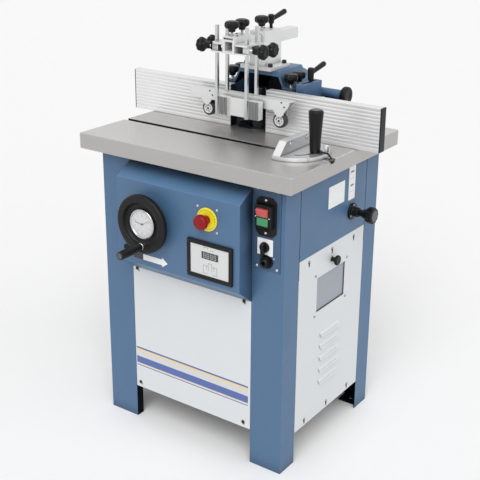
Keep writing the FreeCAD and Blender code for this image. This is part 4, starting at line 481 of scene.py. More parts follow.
# %% Plastic and rubber finishes
black_plastic = finish(
    "black_moulding", (0.0065, 0.0065, 0.007), (0.011, 0.011, 0.012), (0.36, 0.48),
    grain=1600, bump=0.00006, strength=0.3, rub=(0.04, 0.04, 0.042), rub_width=0.0012, dust=0.01,
    specular=0.22)
knob_plastic = finish(
    "gloss_black_moulding", (0.005, 0.005, 0.0055), (0.008, 0.008, 0.009), (0.24, 0.34),
    grain=1600, bump=0.00004, strength=0.2, rub=(0.03, 0.03, 0.032), rub_width=0.001, specular=0.2)
plug_plastic = finish(
    "grey_plug_moulding", (0.075, 0.077, 0.08), (0.09, 0.092, 0.095), (0.34, 0.44), grain=1600, strength=0.2)
yellow_plastic = finish(
    "yellow_moulding", (0.88, 0.72, 0.012), (0.92, 0.76, 0.02), (0.28, 0.36), strength=0.08)
red_plastic = finish(
    "red_moulding", (0.23, 0.006, 0.009), (0.27, 0.009, 0.012), (0.24, 0.32), strength=0.1,
    rub=(0.40, 0.03, 0.03), rub_width=0.001, specular=0.22)
red_button_plastic = finish(
    "red_button_moulding", (0.50, 0.080, 0.075), (0.54, 0.090, 0.085), (0.26, 0.36), strength=0.1)
green_plastic = finish(
    "green_moulding", (0.042, 0.245, 0.105), (0.050, 0.270, 0.118), (0.28, 0.38), strength=0.1)
hub_plastic = finish(
    "pale_hub_moulding", (0.72, 0.73, 0.74), (0.76, 0.77, 0.78), (0.35, 0.45), strength=0.1)
belt_rubber = finish(
    "belt_rubber", (0.015, 0.015, 0.015), (0.022, 0.022, 0.022), (0.6, 0.75),
    grain=500, bump=0.0001, strength=0.4)
tyre_rubber = finish(
    "tyre_rubber", (0.022, 0.022, 0.024), (0.032, 0.032, 0.034), (0.5, 0.65),
    grain=700, bump=0.0001, strength=0.35)
print("mouldings", black_plastic.name, knob_plastic.name, tyre_rubber.name)

# %% Film, print and glass finishes
CARD_SHEEN, FILM_SHEEN, STRIPE_SHEEN = (0.4, 0.5), (0.35, 0.45), (0.36, 0.46)


def printed(name, colour, fleck, rough=CARD_SHEEN):
    """A printed film or card, with hardly any relief."""
    return finish(name, colour, fleck, rough, grain=400, strength=0.05)


film_white = printed("white_label_film", (0.82, 0.83, 0.835), (0.85, 0.86, 0.865), FILM_SHEEN)
card_white = printed("printed_card", (0.62, 0.625, 0.63), (0.65, 0.655, 0.66))
ink_dark = printed("dark_print", (0.03, 0.032, 0.035), (0.04, 0.042, 0.045))
ink_grey = printed("grey_print", (0.17, 0.175, 0.18), (0.20, 0.205, 0.21))
ink_faint = printed("faint_print", (0.58, 0.59, 0.60), (0.62, 0.63, 0.64))
ink_blue = printed("blue_print", (0.085, 0.13, 0.36), (0.095, 0.145, 0.39), STRIPE_SHEEN)
ink_cream = printed("cream_print", (0.72, 0.60, 0.36), (0.75, 0.63, 0.39), STRIPE_SHEEN)
ink_pale = printed("pale_grey_print", (0.60, 0.61, 0.63), (0.63, 0.64, 0.66), STRIPE_SHEEN)
window_sheet = finish(
    "grey_window_sheet", (0.305, 0.331, 0.378), (0.318, 0.344, 0.391), (0.30, 0.38), grain=60, strength=0.03)
screen_black = finish(
    "screen_glass", (0.02, 0.022, 0.022), (0.024, 0.026, 0.026), (0.12, 0.18), grain=100, strength=0.02)
screen_digit = finish(
    "screen_segment", (0.58, 0.59, 0.58), (0.62, 0.63, 0.62), (0.3, 0.4), grain=200, strength=0.02)
dark_gap = finish(
    "shadowed_gap", (0.005, 0.005, 0.006), (0.008, 0.008, 0.009), (0.7, 0.8), grain=300, specular=0.15)
print("finishes", len(bpy.data.materials))

# %% [markdown]
# ## Dressing the CAD pieces
# Folded sheet and castings never have knife edges. Rather than model each radius, the CAD mesh is welded,
# its flat triangles are merged, and a bevel rounds every edge sharper than 18 degrees. Weighted normals
# then keep the flats flat. The CAD mesh itself isn't touched, because these are modifiers.

# %% Ease helper
MM = 1000  # millimetres in a metre
WELD_REACH = 0.000002
FLAT_ANGLE, CAD_EDGE_ANGLE = math.radians(0.6), math.radians(18)


def ease(node, material, width, segments):
    """Gives a CAD piece its finish and rounded edges, the width in millimetres."""
    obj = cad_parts[node]
    obj.data.materials.clear()
    obj.data.materials.append(material)
    for polygon in obj.data.polygons:
        polygon.use_smooth = True
    weld = obj.modifiers.new("weld", "WELD")
    weld.merge_threshold = WELD_REACH
    flats = obj.modifiers.new("flats", "DECIMATE")
    flats.decimate_type = "DISSOLVE"
    flats.angle_limit = FLAT_ANGLE
    flats.delimit = {"MATERIAL"}
    soft = obj.modifiers.new("soft_edges", "BEVEL")
    soft.width = width / MM
    soft.segments = segments
    soft.limit_method = "ANGLE"
    soft.angle_limit = CAD_EDGE_ANGLE
    shade = obj.modifiers.new("shade", "WEIGHTED_NORMAL")
    shade.keep_sharp = False


print("edges over", round(math.degrees(CAD_EDGE_ANGLE)), "degrees are rounded")

# %% Finish for each CAD piece that stays
LEGS = ("front_left_leg", "front_right_leg", "rear_left_leg", "rear_right_leg")
WHITE_PANELS = ("front_panel", "left_panel", "rear_panel", "access_panel")
for material, width, segments, nodes in (
    (blue_paint, 2.0, 3, LEGS),
    (blue_paint, 1.6, 3, ("hood", "left_carrier", "right_carrier")),
    (blue_paint, 0.8, 3, ("upper_panels",)),
    (housing_lightened_paint, 2.4, 3, ("control_housing",)),
    (white_paint, 0.7, 2, WHITE_PANELS),
    (rail_paint, 0.8, 2, ("cabinet_rails",)),
    (ground_iron, 2.4, 2, ("table_top",)),
    (ring_steel, 0.5, 2, ("table_ring",)),
    (plate_paint, 0.5, 2, ("switch_plate",)),
    (black_plastic, 0.9, 2, ("display_unit",)),
    (film_white, 0.6, 2, ("selector_plate",)),
    (window_sheet, 0.3, 2, ("window_pane",)),
    (pale_coat, 1.0, 2, ("mast_block",)),
    (pale_coat, 0.8, 2, ("arm",)),
    (pale_coat, 0.6, 2, ("cross_frame",)),
    (pale_coat, 0.4, 2, ("pressure_shoe",)),
    (cast_aluminium, 1.0, 2, ("gauge_head",)),
    (cast_aluminium, 0.8, 2, ("gauge_fence",)),
    (blued_steel, 0.4, 2, ("gauge_bar",)),
    (blued_steel, 0.5, 2, ("spindle_shaft",)),
    (blued_steel, 0.6, 2, ("spindle_collars",)),
    (grey_iron, 0.8, 2, ("quill",)),
    (grey_iron, 1.0, 2, ("quill_sleeve",)),
    (grey_iron, 0.4, 2, ("motor_pulley",)),
    (bright_steel, 0.5, 2, ("quill_bearings",)),
    (bright_steel, 0.4, 2, ("lift_screw",)),
    (motor_paint, 1.0, 2, ("motor",)),
    (belt_rubber, 0.6, 2, ("drive_belt",)),
):
    for node in nodes:
        ease(node, material, width, segments)
print("eased", sum(1 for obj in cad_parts.values() if obj.modifiers), "CAD pieces")

# %% [markdown]
# ## Dark insides, as painted shade
# Inside the hood, the hold-down's frame and the legs, hardly any light comes in, so these faces get painted
# shade. A face counts as inside when a ray that leaves it along its normal soon meets the same piece again,
# or, on a leg, when it looks towards the machine's middle or is the foot's top. Such faces get a second,
# darker material: nearly black paint, and on the frame a dark ribbed aluminium. Only the faces' material
# numbers change, not the mesh.

# %% Tests for inside faces
SQUARE_ON, MOSTLY = 0.9, 0.5  # how much of a normal lies along an axis
RAY_START = 0.0002
FOOT_HEIGHT, LEG_INWARD = 0.03, -0.02


def second_finish(node, material, belongs):
    """Gives the polygons that belong a further material, and says how many there were."""
    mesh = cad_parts[node].data
    mesh.materials.append(material)
    index = len(mesh.materials) - 1
    chosen = [polygon for polygon in mesh.polygons if belongs(polygon)]
    for polygon in chosen:
        polygon.material_index = index
    print(node, "takes", material.name, "on", len(chosen), "faces")


def meets_itself(node, reach):
    """A test for faces that look at their own piece within the reach, in metres."""
    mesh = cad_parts[node].data
    tree = BVHTree.FromPolygons([v.co for v in mesh.vertices], [tuple(p.vertices) for p in mesh.polygons])

    def test(polygon):
        start = polygon.center + polygon.normal * RAY_START
        return tree.ray_cast(start, polygon.normal, reach)[0] is not None

    return test


def looks_inward(polygon):
    """A test for a leg's faces: those towards the machine's middle, and the foot's top."""
    normal, centre = polygon.normal, polygon.center
    on_foot = normal.z > SQUARE_ON and centre.z < FOOT_HEIGHT
    return on_foot or normal.x * centre.x + normal.y * centre.y < LEG_INWARD


# Painted shade on the legs' inward faces and on the feet's tops.
for node in LEGS:
    second_finish(node, inside_shade_paint, looks_inward)

# %% Inside the hood and the frame
HOOD_REACH, HOOD_LIP, HOOD_WALL_RIGHT = 0.30, 0.04, 0.125
FRAME_REACH = 0.05
meets_hood = meets_itself("hood", HOOD_REACH)
hood_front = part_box("hood")[0].y


def inside_hood(polygon):
    """A test for the hood's faces: the rear wall behind the opening, and what looks at the hood."""
    behind = polygon.normal.y < -MOSTLY and polygon.center.y > hood_front + HOOD_LIP
    on_rear_wall = behind and polygon.center.x < HOOD_WALL_RIGHT
    return on_rear_wall or meets_hood(polygon)


# Painted shade inside the hood, and on the inner faces of the hold-down's frame.
second_finish("hood", inside_shade_paint, inside_hood)
second_finish("cross_frame", ribbed_aluminium_and_shade, meets_itself("cross_frame", FRAME_REACH))

# %% [markdown]
# ## Other faces with a finish of their own
# The table's top was ground and its sides were only milled, so the sides are duller. The gauge's slot is
# deep and narrow, and its faces are painted near black as painted shade. The gauge's fence is a casting:
# its near end takes the paler silver coat, and its back face a darker aluminium, a painted reflection of the
# dark handle. The housing's top slope is painted lighter as a painted highlight, up to the dark gap below
# the table, and its ends are painted darker with deep painted shade, as they are shut in between the legs.
# These could be pieces of their own, but a second material on chosen faces leaves the mesh whole.

# %% Table sides, gauge slot, gauge fence, housing slope and ends
SLOT_EASE, SLOT_DEPTH, TABLE_SKIN = 0.001, 0.01, 0.0001
slot_low, slot_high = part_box("gauge_bar")[0].y - SLOT_EASE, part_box("gauge_bar")[1].y + SLOT_EASE
table_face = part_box("table_top")[1].z


def in_gauge_slot(polygon):
    """A test for the table's faces that lie in the slot, below the table's top."""
    between = slot_low < polygon.center.y < slot_high
    return between and table_face - SLOT_DEPTH < polygon.center.z < table_face - TABLE_SKIN


second_finish("table_top", milled_iron, lambda polygon: abs(polygon.normal.z) < MOSTLY)
# Painted shade: the slot's faces are near black.
second_finish("table_top", dark_gap, in_gauge_slot)
# Painted reflection of the dark handle on the fence's back face.
second_finish("gauge_fence", dark_reflection_aluminium, lambda polygon: polygon.normal.x > SQUARE_ON)
second_finish("gauge_fence", pale_coat, lambda polygon: polygon.normal.y < -MOSTLY)
# Painted highlight on the housing's top slope, and painted shade on its ends.
second_finish("control_housing", slope_highlight_paint, lambda polygon: polygon.normal.z > MOSTLY)
second_finish("control_housing", end_shade_paint, lambda polygon: abs(polygon.normal.x) > SQUARE_ON)

# %% [markdown]
# ## Helpers for turned and cut pieces
# Much of this machine was made on a lathe: wheel, grips, knobs, collars. A turned piece is a half outline,
# given as radius and distance along its axis in millimetres, swept round that axis. Sharp corners of the
# outline are first rounded, as a turner breaks every edge. Blender's screw modifier could sweep them too,
# but here the radius may also change with the angle, for lobes and knurls. Flat things are outlines pushed
# along a direction.

# %% Outlines and axes
FRONT, RIGHT, UP = Vector((0, -1, 0)), Vector((1, 0, 0)), Vector((0, 0, 1))
ACROSS_FRONT, ACROSS_SIDE = Vector((1, 0, 0)), Vector((0, 1, 0))
CORNER_STEPS = 3
CORNER_SHARE = 0.45  # the most of a side that one corner's curve may take
NEXT_TO_NOTHING = 1e-4


def box_mm(node):
    """The low and high corner of a CAD piece's box, in millimetres."""
    low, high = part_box(node)
    return low * MM, high * MM


def middle_mm(node):
    """The middle of a CAD piece's box, in millimetres."""
    return [(low + high) / 2 for low, high in zip(*box_mm(node))]


def rounded(outline, radius, closed=False):
    """An outline with its corners replaced by short curves."""
    points = [Vector(p) for p in outline]
    result = []
    for i, corner in enumerate(points):
        before = points[i - 1] - corner
        after = points[(i + 1) % len(points)] - corner
        reach = min(radius, before.length * CORNER_SHARE, after.length * CORNER_SHARE)
        if reach < NEXT_TO_NOTHING or (not closed and i in (0, len(points) - 1)):
            result.append(corner)
            continue
        start = corner + before.normalized() * reach
        end = corner + after.normalized() * reach
        for step in range(CORNER_STEPS + 1):
            t = step / CORNER_STEPS
            result.append(start * (1 - t) ** 2 + corner * 2 * t * (1 - t) + end * t ** 2)
    return result


def rectangle(left, low, right, high):
    """The four corners of a rectangle."""
    return [(left, low), (right, low), (right, high), (left, high)]


def around(angle, first, second):
    """Two directions in the plane of first and second: outward at the angle, and square to it."""
    outward = first * math.cos(angle) + second * math.sin(angle)
    return outward, second * math.cos(angle) - first * math.sin(angle)


print("a unit square has the corners", rectangle(0, 0, 1, 1))

# %% Turning and pushing


def turn(bm, outline, centre, direction, segments, ripple=None, closed=False):
    """Sweeps (radius, along) points, in millimetres, round an axis. ripple changes a radius by its angle."""
    along = Vector(direction).normalized()
    helper = UP if abs(along.z) < SQUARE_ON else RIGHT
    across = helper.cross(along).normalized()
    over = along.cross(across)
    rings = []
    for r, a in outline:
        middle = Vector(centre) + along * a
        if r < NEXT_TO_NOTHING:
            rings.append([bm.verts.new(middle / MM)])
            continue
        ring = []
        for k in range(segments):
            angle = 2 * math.pi * k / segments
            radius = ripple(r, angle) if ripple else r
            ring.append(bm.verts.new((middle + around(angle, across, over)[0] * radius) / MM))
        rings.append(ring)
    pairs = list(zip(rings, rings[1:]))
    if closed:
        pairs.append((rings[-1], rings[0]))
    for one, two in pairs:
        if len(one) == 1 and len(two) == 1:
            continue
        for k in range(segments):
            n = (k + 1) % segments
            if len(one) == 1:
                bm.faces.new((one[0], two[n], two[k]))
            elif len(two) == 1:
                bm.faces.new((one[k], one[n], two[0]))
            else:
                bm.faces.new((one[k], one[n], two[n], two[k]))


def push(bm, outline, origin, across, over, depth):
    """A flat outline, in millimetres on two directions from origin, pushed along the third by depth."""
    across, over, origin = Vector(across), Vector(over), Vector(origin)
    along = across.cross(over) * depth
    near = [bm.verts.new((origin + across * p[0] + over * p[1]) / MM) for p in outline]
    far = [bm.verts.new(vert.co + along / MM) for vert in near]
    bm.faces.new(near)
    bm.faces.new(list(reversed(far)))
    for k in range(len(outline)):
        n = (k + 1) % len(outline)
        bm.faces.new((near[n], near[k], far[k], far[n]))


def block(bm, low, high):
    """A box between two corners, in millimetres."""
    foot = rectangle(low[0], low[1], high[0], high[1])
    push(bm, foot, (0, 0, low[2]), RIGHT, ACROSS_SIDE, high[2] - low[2])


sample = bmesh.new()
block(sample, (0, 0, 0), (1, 1, 1))
print("a block has", len(sample.faces), "faces")
sample.free()

# %% Finished pieces
MERGE_REACH = 1e-7
PIECE_EDGE_ANGLE, SMOOTH_ANGLE = 32, 38


def piece(name, bm, body, material, stands_for=(), soft=0.0, smooth=SMOOTH_ANGLE):
    """Turns a bmesh into a finished piece that rides on a CAD body."""
    bmesh.ops.remove_doubles(bm, verts=bm.verts, dist=MERGE_REACH)
    bmesh.ops.recalc_face_normals(bm, faces=bm.faces)
    mesh = bpy.data.meshes.new(name)
    bm.to_mesh(mesh)
    bm.free()
    mesh.materials.append(material)
    obj = bpy.data.objects.new(name, mesh)
    bpy.context.scene.collection.objects.link(obj)
    mesh.shade_smooth()
    if soft:
        edges = obj.modifiers.new("soft_edges", "BEVEL")
        edges.width = soft / MM
        edges.segments = 2
        edges.limit_method = "ANGLE"
        edges.angle_limit = math.radians(PIECE_EDGE_ANGLE)
        obj.modifiers.new("shade", "WEIGHTED_NORMAL")
    else:
        mesh.set_sharp_from_angle(angle=math.radians(smooth))
    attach(obj, body)
    if stands_for:
        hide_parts(*stands_for)


def turned(name, outline, radius, centre, direction, segments, body, material, stands_for=(),
           ripple=None, closed=False):
    """A finished piece that is one outline, its corners rounded by the radius, turned round an axis."""
    bm = bmesh.new()
    turn(bm, rounded(outline, radius, closed=closed), centre, direction, segments, ripple, closed)
    piece(name, bm, body, material, stands_for)


print("edges of a piece are shaded sharp over", SMOOTH_ANGLE, "degrees")

# %% Films
FILM, INK, RULE, SINK = 0.14, 0.12, 0.06, 0.02
side_x = box_mm("upper_panels")[1].x
housing_face = box_mm("stop_disc")[1].y
panel_low, panel_high = box_mm("front_panel")


def front_film(name, outline, face, material):
    """A printed film on a face that looks to the front, its outline in x and z."""
    bm = bmesh.new()
    push(bm, outline, (0, face + SINK, 0), ACROSS_FRONT, UP, FILM + SINK)
    piece(name, bm, "stand", material)


def side_film(name, outlines, material, start=0.0, lift=FILM):
    """Printed films on the right side, their outlines in y and z."""
    bm = bmesh.new()
    for outline in outlines:
        push(bm, outline, (side_x + start - SINK, 0, 0), ACROSS_SIDE, UP, lift + SINK)
    piece(name, bm, "stand", material)


print("right side x", round(side_x, 1), "housing face y", round(housing_face, 1))

# %% [markdown]
# ## Handwheel
# The handwheel raises and lowers the spindle. It is a black moulding with a broad, flat rim, a dished
# inside and a position dial set in its hub. It is turned here from one half outline, so that the rim's
# highlight runs unbroken. The crank's stud is screwed into the rim's lower side.

# %% Handwheel
dial_x, _, dial_z = middle_mm("wheel_dial")
wheel_centre = Vector((dial_x, housing_face, dial_z))
shaft_end = housing_face - box_mm("handwheel")[1].y
wheel_outline = [
    (0, shaft_end), (8, shaft_end), (8, 7), (22, 7), (24, 9), (24, 23), (54, 25), (62, 25.5), (70, 24),
    (76, 25), (79.4, 28), (80, 32), (80, 38.4), (78.6, 41.4), (75.6, 42.9), (61.5, 43.4), (59.4, 42.2),
    (57, 35), (53.6, 30.9), (41.5, 29.6), (0, 29.6)]
turned("handwheel_casting", wheel_outline, 2.2, wheel_centre, FRONT, 96,
       "wheel", black_plastic, ["handwheel"])
print("wheel centre", [round(v, 1) for v in wheel_centre])

# %% Crank stud and grip
crank = Vector((wheel_centre.x, housing_face, middle_mm("crank_grip")[2]))
grip_end = housing_face - box_mm("crank_grip")[0].y
collar = [(0, 31), (9.6, 31), (9.6, 43), (8.6, 43.9), (5, 43.9), (5, 44.2), (0, 44.2)]
turned("crank_collar", collar, 0.5, crank, FRONT, 40, "wheel", bright_steel)
grip_outline = [
    (5.05, 44.4), (9.0, 44.4), (9.9, 47), (11.0, 56), (11.9, 78), (12.0, 98), (11.8, 112),
    (11.2, grip_end - 3), (10.2, grip_end - 0.6), (8.4, grip_end - 0.6), (0, grip_end - 0.6)]
turned("crank_grip_moulding", grip_outline, 1.4, crank, FRONT, 56,
       "grip", black_plastic, ["crank_grip"])
plug = [(0, grip_end - 0.1), (7.6, grip_end - 0.1), (8.2, grip_end - 0.8), (0, grip_end - 0.8)]
turned("crank_grip_plug", plug, 0.3, crank, FRONT, 40, "grip", plug_plastic)
print("grip reaches", round(grip_end, 1), "in front of the housing")

# %% [markdown]
# ## Position dial
# A gravity-driven indicator sits in the wheel's hub: a bright bezel round a white face with fine ticks,
# figures and two thin hands. The ticks are small blocks set round a circle, every sixth one longer. The
# figures come from a text curve that is turned into a mesh, because curves can't be weighed with the rest.

# %% Dial bezel and face
DIAL_BACK, DIAL_FACE, CARD_RADIUS = 29.6, 34.6, 35.5
bezel = [
    (35.6, 29.7), (40.2, 29.7), (41, 31.5), (41, 34.8), (39.8, 36.6), (37.8, 37.2), (36, 36.6),
    (34.8, DIAL_FACE)]
turned("dial_bezel", bezel, 0.8, wheel_centre, FRONT, 96,
       "wheel", chrome, ["wheel_dial"], closed=True)
card = [(0, DIAL_BACK), (CARD_RADIUS, DIAL_BACK), (CARD_RADIUS, DIAL_FACE), (0, DIAL_FACE)]
bm = bmesh.new()
turn(bm, card, wheel_centre, FRONT, 72)
piece("dial_face", bm, "wheel", card_white)
print("dial face", DIAL_FACE, "in front of the housing")

# %% Dial ticks and hands
TICKS, LONG_EVERY, TICK_END = 60, 6, 32.5
LONG_TICK, SHORT_TICK = (27.5, 0.7), (29.5, 0.35)  # where it starts, and its width


def dial_bar(bm, degrees, start, end, width, lift):
    """A bar on the dial, clockwise from the top as the operator sees it."""
    outward, sideways = around(math.radians(degrees), UP, RIGHT)
    origin = wheel_centre + FRONT * lift - sideways * width / 2
    push(bm, rectangle(0, start, width, end), origin, sideways, outward, INK)


bm = bmesh.new()
for k in range(TICKS):
    tick_start, tick_width = LONG_TICK if k % LONG_EVERY == 0 else SHORT_TICK
    dial_bar(bm, k * 360 / TICKS, tick_start, TICK_END, tick_width, DIAL_FACE)
piece("dial_ticks", bm, "wheel", ink_dark)
bm = bmesh.new()
dial_bar(bm, degrees=-83, start=-7, end=24, width=0.9, lift=DIAL_FACE + 0.8)
dial_bar(bm, degrees=62, start=-6, end=29, width=0.6, lift=DIAL_FACE + 1.0)
hand_pin = [(0, DIAL_FACE), (2.2, DIAL_FACE), (2.2, DIAL_FACE + 1.3), (0, DIAL_FACE + 1.5)]
turn(bm, rounded(hand_pin, 0.3), wheel_centre, FRONT, 24)
piece("dial_hands", bm, "wheel", ink_dark)
print("dial ticks", TICKS)

# %% Dial figures
FIGURES, FIGURE_RING, FIGURE_SIZE, FIGURE_LIFT = 10, 23.5, 5.0, 0.1


def figure(name, text, size, spot, body, material):
    """A flat figure that looks to the front, its middle at spot, as a thin mesh."""
    curve = bpy.data.curves.new(name, "FONT")
    curve.body = text
    curve.size = size / MM
    curve.align_x = "CENTER"
    curve.align_y = "CENTER"
    curve.resolution_u = 3
    holder = bpy.data.objects.new(name + "_curve", curve)
    bpy.context.scene.collection.objects.link(holder)
    bpy.context.view_layer.update()
    mesh = bpy.data.meshes.new_from_object(holder)
    bpy.data.objects.remove(holder)
    upright = Matrix((ACROSS_FRONT, UP, FRONT)).transposed().to_4x4()
    mesh.transform(Matrix.Translation(Vector(spot) / MM) @ upright)
    mesh.materials.clear()
    mesh.materials.append(material)
    obj = bpy.data.objects.new(name, mesh)
    bpy.context.scene.collection.objects.link(obj)
    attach(obj, body)


for k in range(FIGURES):
    outward = around(math.radians(k * 360 / FIGURES), UP, RIGHT)[0]
    spot = wheel_centre + outward * FIGURE_RING + FRONT * (DIAL_FACE + FIGURE_LIFT)
    figure(f"dial_figure_{k}", str(k), FIGURE_SIZE, spot, "wheel", ink_dark)
print("dial figures", FIGURES)

# %% [markdown]
# ## Emergency stop
# A red mushroom on a yellow collar. The head is crowned, with a groove under its rim, and the collar has a
# fine ring and short marks. Cylinders with bevels could make it up, but one turned outline gives the crown,
# the rim and the groove in one go. The marks are thin blocks, so that they keep a crisp edge.

# %% Emergency stop collar
stop_x, _, stop_z = middle_mm("stop_disc")
stop_centre = Vector((stop_x, housing_face, stop_z))
COLLAR_THICK, RING_INNER, RING_OUTER = 3.0, 25.2, 25.8
COLLAR_MARKS, MARK_INNER, MARK_OUTER, MARK_WIDE = 24, 27, 29.2, 1.1
disc = [(11.3, 0), (31, 0), (31, 2.3), (30, COLLAR_THICK), (11.3, COLLAR_THICK)]
turned("stop_collar", disc, 0.4, stop_centre, FRONT, 72,
       "stand", yellow_plastic, ["stop_disc"], closed=True)
bm = bmesh.new()
ring = rectangle(RING_INNER, COLLAR_THICK, RING_OUTER, COLLAR_THICK + INK)
turn(bm, ring, stop_centre, FRONT, 72, closed=True)
half_round = COLLAR_MARKS // 2
for k in range(COLLAR_MARKS):
    if k % half_round in (0, 1, half_round - 1):
        continue  # none at the top and the foot
    outward, sideways = around(math.radians(k * 360 / COLLAR_MARKS), UP, RIGHT)
    origin = stop_centre - sideways * (MARK_WIDE / 2) + FRONT * COLLAR_THICK
    push(bm, rectangle(0, MARK_INNER, MARK_WIDE, MARK_OUTER), origin, sideways, outward, INK)
piece("stop_collar_marks", bm, "stand", ink_dark)
print("stop centre", [round(v, 1) for v in stop_centre])

# %% Emergency stop head
head = [
    (0, -9.5), (11, -9.5), (11, 13), (13.5, 15), (13.5, 18.6), (16.5, 19), (19.2, 20.6), (20, 23.5),
    (20, 29.2), (18.9, 33), (15.2, 35.6), (8, 36.8), (0, 37)]
turned("stop_mushroom_head", head, 1.4, stop_centre, FRONT, 64,
       "stop_mushroom", red_plastic, ["stop_head"])
print("stop head", 2 * max(r for r, a in head), "wide")

# %% [markdown]
# ## Height display
# A black frame holds a white printed face with a dark window of four figures, and a thin line drawing of a
# spindle below. The figures are the plain seven-bar kind. A text curve has no such letters, so each bar is
# a small block, and the drawing is made of the same thin blocks.

# %% Display face and window
FRAME_RECESS, FRAME_SIDE, FRAME_EDGE, CARD_GAP = 2.0, 10.5, 11, 0.4
SCREEN_WIDE, SCREEN_TALL, SCREEN_LIFT = 52, 19, 0.5
SCREEN_FROM_LEFT, SCREEN_FROM_FOOT = 36, 46
show_low, show_high = box_mm("display_unit")
face_y = show_low.y + FRAME_RECESS
face_left, face_right = show_low.x + FRAME_SIDE, show_high.x - FRAME_SIDE
face_low, face_high = show_low.z + FRAME_EDGE, show_high.z - FRAME_EDGE
screen_corner = (face_left + SCREEN_FROM_LEFT, face_low + SCREEN_FROM_FOOT)


def face_marks(name, marks, corner, material, lift):
    """Thin blocks on the display's face, each given by its left, low, right and high edges."""
    bm = bmesh.new()
    for mark in marks:
        push(bm, rectangle(*mark), (corner[0], face_y, corner[1]), ACROSS_FRONT, UP, lift)
    piece(name, bm, "stand", material)


sheet = rectangle(face_left + CARD_GAP, face_low + CARD_GAP, face_right - CARD_GAP, face_high - CARD_GAP)
front_film("display_face", sheet, face_y, card_white)
face_marks("display_screen", [(0, 0, SCREEN_WIDE, SCREEN_TALL)], screen_corner, screen_black, SCREEN_LIFT)
print("display face", round(face_right - face_left, 1), "by", round(face_high - face_low, 1))

# %% Display figures and drawing
BARS = (
    (0.16, 0.92, 0.84, 1.0), (0.16, 0.46, 0.84, 0.54), (0.16, 0.0, 0.84, 0.08), (0.04, 0.54, 0.16, 0.96),
    (0.84, 0.54, 0.96, 0.96), (0.04, 0.04, 0.16, 0.46), (0.84, 0.04, 0.96, 0.46))
DIGITS, DIGIT_WIDE, DIGIT_TALL, DIGIT_STEP = 4, 8, 13, 11
DIGITS_LEFT, DIGITS_FOOT = 5, 3
digit_bars = []
for index in range(DIGITS):
    digit_left = DIGITS_LEFT + index * DIGIT_STEP
    for bar in BARS:
        across = [digit_left + bar[k] * DIGIT_WIDE for k in (0, 2)]
        upward = [DIGITS_FOOT + bar[k] * DIGIT_TALL for k in (1, 3)]
        digit_bars.append((across[0], upward[0], across[1], upward[1]))
face_marks("display_figures", digit_bars, screen_corner, screen_digit, SCREEN_LIFT + INK)
SPINDLE_DRAWING = (
    (-22, 0, -21, 22), (21, 0, 22, 22), (-22, 21.4, -6, 22.4), (6, 21.4, 22, 22.4), (-6, 8, -5, 30),
    (5, 8, 6, 30), (-6, 29, 6, 30), (-12, 12, -11, 22), (11, 12, 12, 22), (-22, 0, -8, 1), (8, 0, 22, 1),
    (-20, 70.5, -8, 71.5), (-8, 66.5, -7, 71.5), (-20, 66.5, -19, 71.5), (0, 65.5, 12, 66.5))
DRAWING_RIGHT, DRAWING_RISE, DRAWING_LIFT = 2, 6, 0.24
drawing_corner = ((face_left + face_right) / 2 + DRAWING_RIGHT, face_low + DRAWING_RISE)
face_marks("display_drawing", SPINDLE_DRAWING, drawing_corner, ink_grey, DRAWING_LIFT)
print("display bars", len(digit_bars))

# %% [markdown]
# ## Front panel stripes and plain labels
# A printed band crosses the front panel near its foot: a thin blue rule, a cream rule, a pale band, a broad
# blue band and a thin cream rule with a dark edge. A mask in the panel's material could paint them, but
# thin films laid on the sheet stay crisp from close by. A plain arrow under the wheel shows the way it
# turns, and a small black stop block sits beside it on the housing.

# %% Stripes
STRIPE_FROM_LEFT, STRIPE_FROM_RIGHT = 3, 7
stripe_left, stripe_right = panel_low.x + STRIPE_FROM_LEFT, panel_high.x - STRIPE_FROM_RIGHT
for name, low, high, material in (
    ("stripe_blue_rule", 226.2, 231, ink_blue),
    ("stripe_cream_rule", 217.7, 226, ink_cream),
    ("stripe_pale_band", 201.2, 217.5, ink_pale),
    ("stripe_blue_band", 180, 201, ink_blue),
    ("stripe_cream_foot", 175, 178, ink_cream),
    ("stripe_dark_edge", 171.8, 174.2, ink_blue),
):
    front_film(name, rectangle(stripe_left, low, stripe_right, high), panel_low.y, material)
print("stripes from", round(stripe_left, 1), "to", round(stripe_right, 1))

# %% Arrow label and stop block
ARROW_START, ARROW_LEFT, ARROW_NECK, ARROW_TIP = -148, -114, -49, -30
ARROW_Z, ARROW_HALF, ARROW_HEAD, ARROW_GAP = 546, 8, 13.5, 1
BLOCK_X, BLOCK_Z, BLOCK_THICK = -152, 564, 8
arrow_low, arrow_high = ARROW_Z - ARROW_HALF, ARROW_Z + ARROW_HALF
arrow = [
    (ARROW_LEFT, arrow_low), (ARROW_NECK, arrow_low), (ARROW_NECK, ARROW_Z - ARROW_HEAD),
    (ARROW_TIP, ARROW_Z), (ARROW_NECK, ARROW_Z + ARROW_HEAD), (ARROW_NECK, arrow_high),
    (ARROW_LEFT, arrow_high)]
front_film("turn_arrow_label", arrow, housing_face, film_white)
arrow_foot = rectangle(ARROW_START, arrow_low, ARROW_LEFT - ARROW_GAP, arrow_high)
front_film("turn_arrow_foot", arrow_foot, housing_face, ink_dark)
bm = bmesh.new()
wing = [(-24, -5), (-4, -7.5), (5, -5), (7, 0), (5, 5), (-4, 7.5), (-24, 5)]
wing_place = (BLOCK_X, housing_face, BLOCK_Z)
push(bm, rounded(wing, 2.5, closed=True), wing_place, ACROSS_FRONT, UP, BLOCK_THICK)
piece("wheel_stop_block", bm, "stand", knob_plastic, soft=1.2)
print("arrow from", ARROW_START, "to", ARROW_TIP)

